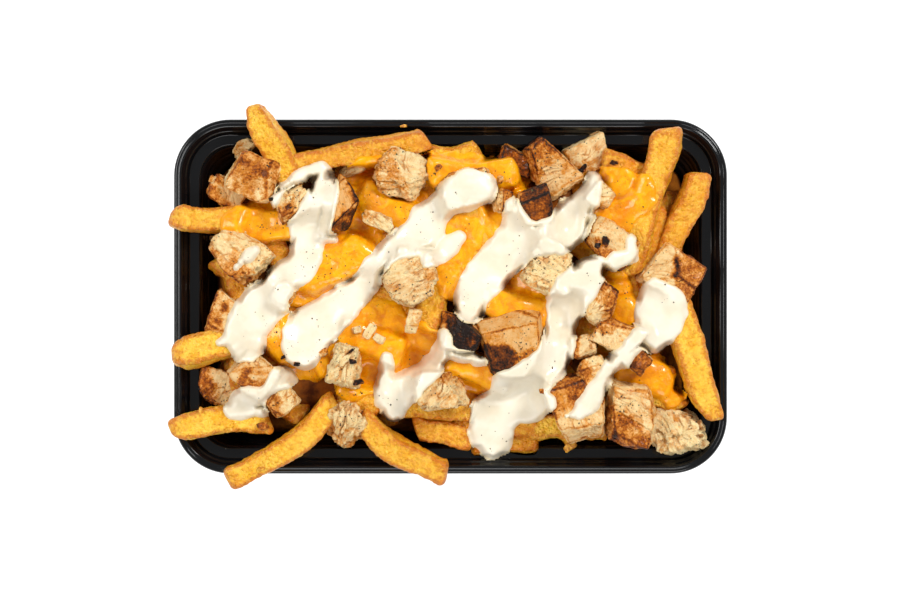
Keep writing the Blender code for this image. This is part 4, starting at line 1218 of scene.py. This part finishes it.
def chicken_looks():
    """Grilled chicken: pale fibrous flesh, browned and charred by its searing, dusted with pepper, with
    painted shade in the crevices between the fibres.
    """
    colours = bpy.context.scene.loaded_fries
    looks = Looks("grilled_chicken", {"Subsurface Weight": 0.06, "Subsurface Radius": (0.003, 0.002, 0.001),
                                      "Subsurface Scale": 0.4, "Specular IOR Level": 0.22,
                                      "Coat Weight": 0.08,
                                      "Coat Roughness": 0.12})
    sear, edge, roast = (looks.attribute(label) for label in ("sear", "edge", "roast"))
    depth, tone = looks.attribute("depth"), looks.attribute("tone")
    blotches = looks.noise(3.4, 4.0, 0.65)
    fine = looks.noise(0.9, 4.0, 0.7)
    threads = looks.grain(0.9)
    flesh = looks.mix((blotches * 0.5 + threads * 0.6).between(0.48, 0.78), colours.chicken_pale,
                      colours.chicken_tan)
    flesh = looks.mix(tone.between(0.55, 1.0) * 0.18, flesh, colours.chicken_grey)
    flesh = looks.mix(roast.between(0.35, 0.95) * (0.35 + 0.6 * blotches), flesh, colours.chicken_golden)
    mottles = looks.noise(1.9, 5.0, 0.75)
    flesh = looks.mix(mottles.between(0.46, 0.70) * (0.45 + sear), flesh, colours.chicken_golden)
    # Painted shade: the crevices between the fibres are darkened to a warm brown
    cracks = looks.mix(fine.between(0.35, 0.6), colours.chicken_spice, colours.chicken_golden)
    flesh = looks.mix(depth.between(0.15, 0.9) * 0.8, flesh, cracks)
    heat = (sear + (fine - 0.5) * 0.9 + (blotches - 0.5) * 0.9 + edge * roast * 0.3).clamped()
    colour = looks.mix(heat.between(0.12, 0.50) * 0.9, flesh, colours.chicken_golden)
    colour = looks.mix(heat.between(0.38, 0.66), colour, colours.chicken_spice)
    colour = looks.mix(heat.between(0.56, 0.84), colour, colours.chicken_brown)
    colour = looks.mix(heat.between(0.82, 1.0), colour, colours.chicken_char)
    pepper = looks.specks(1.6, 0.20, 0.42)
    colour = looks.mix(pepper * 0.9, colour, srgb(42, 26, 16))
    spice = looks.specks(1.1, 0.24, 0.34)
    colour = looks.mix(spice * 0.65, colour, colours.chicken_brown)
    height = fine + threads * 1.6 + looks.noise(0.45, 3.0) * 0.5 + pepper * 0.5
    return looks.write(Base_Color=colour, Roughness=0.36 + 0.30 * fine - 0.12 * sear,
                       Normal=looks.bump(height, 0.60, 1.0))


def pepper_looks():
    """Cracked pepper and dried herb, from black to brown and green."""
    looks = Looks("cracked_pepper", {"Roughness": 0.6})
    tone = looks.attribute("tone")
    stops = [(0.0, srgb(24, 18, 14)), (0.55, srgb(60, 38, 22)), (0.85, srgb(88, 60, 30)),
             (1.0, srgb(92, 98, 44))]
    return looks.write(Base_Color=looks.node("ShaderNodeValToRGB", {"stops": stops}, {"Fac": tone}))


def crumb_looks():
    """Crumbs of fried potato, pale and browned."""
    looks = Looks("fried_crumb", {"Roughness": 0.5})
    patches = looks.noise(1.0, 3.0)
    colour = looks.mix(patches.between(0.4, 0.6), srgb(236, 176, 60), srgb(190, 118, 28))
    return looks.write(Base_Color=colour)


def floor_looks():
    """A pale floor that glows a little, so that it stays white around the tray."""
    looks = Looks("pale_floor", {"Roughness": 0.9, "Specular IOR Level": 0.1, "Emission Color": (1, 1, 1, 1),
                                 "Emission Strength": FLOOR_GLOW})
    return looks.write(Base_Color=rgba((FLOOR_GREY, FLOOR_GREY, FLOOR_GREY)))


def colour_setting(name, description, *display):
    """A colour that a user would change, its default from 0 to 255 display values."""
    return FloatVectorProperty(name=name, description=description, default=srgb(*display), subtype="COLOR",
                               size=3, min=0, max=1)


class LoadedFriesSettings(PropertyGroup):
    """Sizes and colours that a user would change."""

    filler_count: IntProperty(
        name="Filler fries", description="Fries bedded in the core", default=46, min=0, max=80)
    sauce_thickness: FloatProperty(
        name="Sauce thickness", description="Depth of the white sauce where it lies thick",
        default=0.0024, min=0.0005, max=0.006, unit="LENGTH", subtype="DISTANCE")
    fry_pale: colour_setting("Fry, pale", "The palest faces of the fries", 255, 208, 72)
    fry_golden: colour_setting("Fry, golden", "The usual colour of the fries", 252, 184, 12)
    fry_deep: colour_setting("Fry, deep", "The deeper patches of the fries", 220, 133, 2)
    fry_toasted: colour_setting("Fry, toasted", "Browned edges and tips", 196, 96, 0)
    cheese_bright: colour_setting("Cheese, bright", "The brightest melted cheese", 252, 170, 8)
    cheese_deep: colour_setting("Cheese, deep", "The deepest melted cheese", 228, 130, 0)
    cheese_cream: colour_setting("Cheese, cream", "Pale swirls in the cheese", 255, 200, 84)
    sauce_white: colour_setting("Sauce, white", "The sauce where it is thick", 238, 229, 208)
    # A shaded copy of the sauce colour, laid in random clouds as painted shade
    sauce_shade: colour_setting("Sauce, shade", "The sauce's cooler clouds", 228, 216, 190)
    sauce_thin: colour_setting("Sauce, thin", "The sauce where what is below shows through", 250, 222, 150)
    chicken_pale: colour_setting("Chicken, pale", "Cut flesh", 254, 229, 172)
    chicken_tan: colour_setting("Chicken, tan", "Deeper flesh between the fibres", 243, 203, 132)
    chicken_golden: colour_setting("Chicken, golden", "Flesh tinted by the marinade", 224, 142, 36)
    chicken_grey: colour_setting("Chicken, grey", "Greyish flesh", 222, 180, 134)
    chicken_spice: colour_setting("Chicken, spice", "Seasoned crust", 178, 90, 8)
    chicken_brown: colour_setting("Chicken, brown", "Seared crust", 100, 46, 5)
    chicken_char: colour_setting("Chicken, char", "Charred crust", 28, 14, 7)


class LOADEDFRIES_OT_tray(Operator):
    """Adds the moulded tray"""

    bl_idname = "loadedfries.tray"
    bl_label = "Tray"

    def execute(self, context):
        finish_piece(put_mesh("moulded_tray", *tray_skin()), plastic_looks(), "tray_plastic", "tray")
        return {"FINISHED"}


class LOADEDFRIES_OT_core(Operator):
    """Adds the heap's core"""

    bl_idname = "loadedfries.core"
    bl_label = "Core"

    def execute(self, context):
        finish_piece(put_mesh("heap_core", *core_skin()), core_looks(), "fries_and_sauce", "fries")
        return {"FINISHED"}


class LOADEDFRIES_OT_fries(Operator):
    """Adds the fries that show and those bedded in the core"""

    bl_idname = "loadedfries.fries"
    bl_label = "Fries"

    def execute(self, context):
        looks = fry_looks()
        filler = POOL_FRIES + filler_fries(context.scene.loaded_fries.filler_count)
        shown = [skin_of(fry_surface(fry, n, *SHOWN_FRY_MESH)) for n, fry in enumerate(FRIES)]
        buried = [skin_of(fry_surface(fry, n, *BURIED_FRY_MESH)) for n, fry in enumerate(filler, len(FRIES))]
        parts = {"fries_over_rim": shown[:FRIES_OVER_RIM], "fries_on_top": shown[FRIES_OVER_RIM:],
                 "fries_below": buried}
        for name, skins in parts.items():
            finish_piece(put_mesh(name, *join_skins(skins)), looks, "fries_and_sauce", "fries")
        return {"FINISHED"}


class LOADEDFRIES_OT_cheese(Operator):
    """Adds the melted cheese"""

    bl_idname = "loadedfries.cheese"
    bl_label = "Melted cheese"

    def execute(self, context):
        inside, top = cheese_film()
        points, quads, attributes = film_skin(inside, top, FILM_UNDERSIDE, fries_map())
        piece = put_mesh("melted_cheese", points, quads, None, attributes)
        finish_piece(piece, cheese_looks(), "fries_and_sauce", "fries")
        return {"FINISHED"}


class LOADEDFRIES_OT_chicken(Operator):
    """Adds the chunks of grilled chicken"""

    bl_idname = "loadedfries.chicken"
    bl_label = "Chicken"

    def execute(self, context):
        looks = chicken_looks()
        for number, chunk in enumerate(CHICKEN, 1):
            turns = int(np.pi * max(chunk[3], chunk[4]) / CHUNK_MESH_STEP)
            skin = skin_of(chunk_surface(chunk, number, turns // 2, turns))
            node = f"chicken_{number:02d}"
            finish_piece(put_mesh(f"{node}_cut", *skin), looks, "grilled_chicken", node)
        return {"FINISHED"}


class LOADEDFRIES_OT_sauce(Operator):
    """Adds the white sauce"""

    bl_idname = "loadedfries.sauce"
    bl_label = "White sauce"

    def execute(self, context):
        inside, top = sauce_film()
        points, quads, attributes = film_skin(inside, top, FILM_UNDERSIDE, dressed_map())
        piece = put_mesh("white_sauce", points, quads, None, attributes)
        finish_piece(piece, sauce_looks(), "fries_and_sauce", "fries")
        return {"FINISHED"}


class LOADEDFRIES_OT_bits(Operator):
    """Adds loose bits of chicken and crumbs of fry"""

    bl_idname = "loadedfries.bits"
    bl_label = "Bits and crumbs"

    def execute(self, context):
        bits = [bit_skin(bit, number) for number, bit in enumerate(CHICKEN_BITS, FIRST_BIT_SEED)]
        crumbs = [bit_skin((*crumb, 0.0), number) for number, crumb in enumerate(CRUMBS, FIRST_CRUMB_SEED)]
        finish_piece(put_mesh("chicken_bits", *join_skins(bits)), chicken_looks(), "grilled_chicken", "fries")
        finish_piece(put_mesh("fry_crumbs", *join_skins(crumbs)), crumb_looks(), "fries_and_sauce", "fries")
        return {"FINISHED"}


class LOADEDFRIES_OT_pepper(Operator):
    """Adds loose flakes of pepper and herb on top"""

    bl_idname = "loadedfries.pepper"
    bl_label = "Pepper"

    count: IntProperty(name="Count", description="How many flakes lie on the food", default=700, min=0)

    def execute(self, context):
        rng = np.random.default_rng(PEPPER_SEED)
        inside, top = sauce_film()[0], top_map()
        xs, ys = map_axes()
        steepness = np.hypot(*np.gradient(top, MAP_STEP))
        covered = (inside > 1) | (cheese_film()[0] > 1) | (chicken_map() > fries_map())
        columns, rows = np.nonzero(covered & (steepness < PEPPER_STEEPEST))
        places = flat_points(xs[columns], ys[rows], top[columns, rows] + PEPPER_LIFT)
        patches = layered_noise(places * (1, 1, 0), PEPPER_PATCH_SIZE, PEPPER_SEED + 2)
        crowding = np.clip(patches + 0.25, 0.02, 1) ** 2
        crowding = np.where(inside[columns, rows] > 0, PEPPER_ON_SAUCE, 1.0) * crowding
        chosen = rng.choice(len(places), self.count, replace=False, p=crowding / crowding.sum())
        places = places[chosen]
        radii = FLAKE_RADII[0] + FLAKE_RADII[1] * rng.uniform(0, 1, self.count) ** 2
        points, triangles, attributes = flake_skins(places, radii, FLAKE_SQUASH, PEPPER_SEED + 1)
        piece = put_mesh("pepper_flakes", points, np.zeros((0, 4), int), triangles, attributes)
        finish_piece(piece, pepper_looks(), "fries_and_sauce", "fries")
        return {"FINISHED"}


class LOADEDFRIES_OT_stage(Operator):
    """Adds the floor, the lights and the camera"""

    bl_idname = "loadedfries.stage"
    bl_label = "Stage"

    def execute(self, context):
        reach = FLOOR_REACH
        corners = np.array([(-reach, -reach, 0), (reach, -reach, 0), (reach, reach, 0), (-reach, reach, 0)])
        floor = put_mesh("floor", corners, np.array([[0, 1, 2, 3]]))
        floor.data.materials.append(floor_looks())
        for name, (place, size, power) in LIGHTS.items():
            self.add_light(context, name, place, size, power)
        world = bpy.data.worlds.new("studio")
        world.use_nodes = True
        background = world.node_tree.nodes["Background"]
        background.inputs["Color"].default_value = (1, 1, 1, 1)
        background.inputs["Strength"].default_value = STUDIO_BRIGHTNESS
        context.scene.world = world
        context.scene.view_settings.view_transform = "Standard"
        self.add_camera(context)
        return {"FINISHED"}

    def add_light(self, context, name, place, size, power):
        """A square area light at this place, aimed at the tray."""
        data = bpy.data.lights.new(name, "AREA")
        data.size = size
        data.energy = power
        lamp = bpy.data.objects.new(name, data)
        lamp.location = place
        x, y, z = place
        lamp.rotation_euler = (np.arctan2(np.hypot(x, y), z), 0, np.arctan2(-x, y) + np.pi)
        context.scene.collection.objects.link(lamp)

    def add_camera(self, context):
        """Straight down, so far up that a photo pixel is PHOTO_SCALE at the rim's height."""
        camera = bpy.data.cameras.new("camera")
        camera.lens = CAMERA_LENS
        camera.sensor_width = CAMERA_SENSOR
        distance = PHOTO_SIZE[0] * PHOTO_SCALE * camera.lens / camera.sensor_width
        eye = bpy.data.objects.new("camera", camera)
        offset = (np.array(PHOTO_SIZE) / 2 - PHOTO_TRAY_CENTRE) * (1, -1) * PHOTO_SCALE
        eye.location = (offset[0] * MM, offset[1] * MM, (TRAY_HEIGHT + distance) * MM)
        context.scene.collection.objects.link(eye)
        context.scene.camera = eye


class LOADEDFRIES_PT_panel(Panel):
    """Lists the pieces in the sidebar"""

    bl_idname = "LOADEDFRIES_PT_panel"
    bl_label = "Loaded fries"
    bl_space_type = "VIEW_3D"
    bl_region_type = "UI"
    bl_category = "Loaded fries"

    def draw(self, context):
        settings = context.scene.loaded_fries
        for label in LoadedFriesSettings.__annotations__:
            self.layout.prop(settings, label)
        for operator in OPERATORS:
            self.layout.operator(operator.bl_idname)


OPERATORS = (
    LOADEDFRIES_OT_tray,
    LOADEDFRIES_OT_core,
    LOADEDFRIES_OT_fries,
    LOADEDFRIES_OT_cheese,
    LOADEDFRIES_OT_chicken,
    LOADEDFRIES_OT_sauce,
    LOADEDFRIES_OT_bits,
    LOADEDFRIES_OT_pepper,
    LOADEDFRIES_OT_stage,
)


def register():
    for made in (LoadedFriesSettings, *OPERATORS, LOADEDFRIES_PT_panel):
        bpy.utils.register_class(made)
    bpy.types.Scene.loaded_fries = PointerProperty(type=LoadedFriesSettings)


def unregister():
    del bpy.types.Scene.loaded_fries
    for made in (LOADEDFRIES_PT_panel, *reversed(OPERATORS), LoadedFriesSettings):
        bpy.utils.unregister_class(made)


def main():
    register()
    bpy.ops.loadedfries.tray()
    bpy.ops.loadedfries.core()
    bpy.ops.loadedfries.fries()
    bpy.ops.loadedfries.cheese()
    bpy.ops.loadedfries.chicken()
    bpy.ops.loadedfries.sauce()
    bpy.ops.loadedfries.bits()
    bpy.ops.loadedfries.pepper()
    bpy.ops.loadedfries.stage()


if __name__ == "__main__":
    main()
